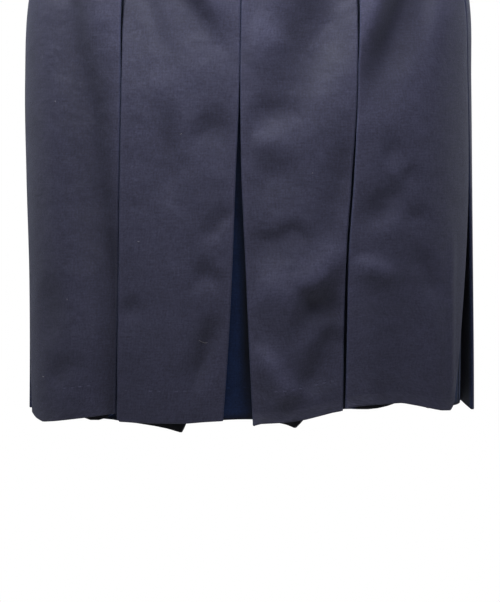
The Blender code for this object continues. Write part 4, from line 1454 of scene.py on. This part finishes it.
class SKIRT_OT_stage(bpy.types.Operator):
    """Make the floor, the lights and the camera"""
    bl_idname = "skirt.stage"
    bl_label = "Stage"

    def execute(self, context):
        stage = context.scene.skirt_stage
        bm = bmesh.new()
        bmesh.ops.create_grid(bm, x_segments=1, y_segments=1, size=stage.floor_size)
        bmesh.ops.translate(bm, vec=(0.0, 0.0, -stage.floor_drop), verts=bm.verts[:])
        mesh = mesh_from("floor", bm)
        mesh.materials.append(painted_board("matt_white_board", stage.floor_colour, 1.0))
        link("floor", mesh)

        world = bpy.data.worlds.new("white_surroundings")
        context.scene.world = world
        world.use_nodes = True
        tree = world.node_tree
        path = add_node(tree, "ShaderNodeLightPath")
        strength = add_node(tree, "ShaderNodeMapRange", None, {
            "Value": path.outputs["Is Camera Ray"], "To Min": stage.sky, "To Max": 1.0})
        background = tree.nodes["Background"]
        background.inputs["Color"].default_value = (1.0, 1.0, 1.0, 1.0)
        tree.links.new(strength.outputs["Result"], background.inputs["Strength"])

        for name, setting, place_at, target, size in LIGHTS:
            self.light(name, getattr(stage, setting), place_at, target, size)

        camera = bpy.data.cameras.new("camera")
        camera.lens = stage.focal_length
        camera.sensor_fit = "AUTO"
        camera.sensor_width = SENSOR_WIDTH
        camera.clip_start = CLIP_START
        made = bpy.data.objects.new("camera", camera)
        made.location = (0.0, -stage.camera_back, -stage.camera_down)
        made.rotation_euler = (math.pi / 2 - stage.camera_pitch, 0.0, 0.0)
        context.scene.collection.objects.link(made)
        context.scene.camera = made
        context.scene.view_settings.view_transform = "Standard"
        return {"FINISHED"}

    def light(self, name, strength, place_at, target, size):
        """A soft rectangular light that looks at a point."""
        data = bpy.data.lights.new(name, "AREA")
        data.shape = "RECTANGLE"
        data.size, data.size_y = size
        data.energy = strength
        data.color = linear(LIGHT_COLOUR)
        made = bpy.data.objects.new(name, data)
        made.location = place_at
        aim = Vector(target) - Vector(place_at)
        made.rotation_euler = aim.to_track_quat("-Z", "Y").to_euler()
        made.visible_camera = False
        bpy.context.scene.collection.objects.link(made)


class SKIRT_PT_panel(bpy.types.Panel):
    """Lists the skirt's steps and sizes"""
    bl_idname = "SKIRT_PT_panel"
    bl_label = "Pleated Midi Skirt"
    bl_space_type = "VIEW_3D"
    bl_region_type = "UI"
    bl_category = "Skirt"

    def draw(self, context):
        layout = self.layout
        for operator in OPERATORS:
            layout.operator(operator.bl_idname)
        for key in SETTINGS:
            group = getattr(context.scene, key)
            box = layout.box()
            for name in group.__annotations__:
                box.prop(group, name)


SETTINGS = {
    "skirt_cloth": SKIRT_PG_cloth, "skirt_closure": SKIRT_PG_closure,
    "skirt_stage": SKIRT_PG_stage,
}
OPERATORS = (
    SKIRT_OT_walls, SKIRT_OT_waistband, SKIRT_OT_zip, SKIRT_OT_slider, SKIRT_OT_pull,
    SKIRT_OT_lint, SKIRT_OT_stage,
)
CLASSES = (*SETTINGS.values(), *OPERATORS, SKIRT_PT_panel)


def register():
    """Registers the add-on's classes and its settings."""
    for item in CLASSES:
        bpy.utils.register_class(item)
    for key, group in SETTINGS.items():
        setattr(bpy.types.Scene, key, PointerProperty(type=group))


def unregister():
    """Takes the settings and classes away again."""
    for key in SETTINGS:
        delattr(bpy.types.Scene, key)
    for item in reversed(CLASSES):
        bpy.utils.unregister_class(item)


def main():
    """Makes every piece in order."""
    register()
    bpy.ops.skirt.walls()
    bpy.ops.skirt.waistband()
    bpy.ops.skirt.zip()
    bpy.ops.skirt.slider()
    bpy.ops.skirt.pull()
    bpy.ops.skirt.lint()
    bpy.ops.skirt.stage()


if __name__ == "__main__":
    main()
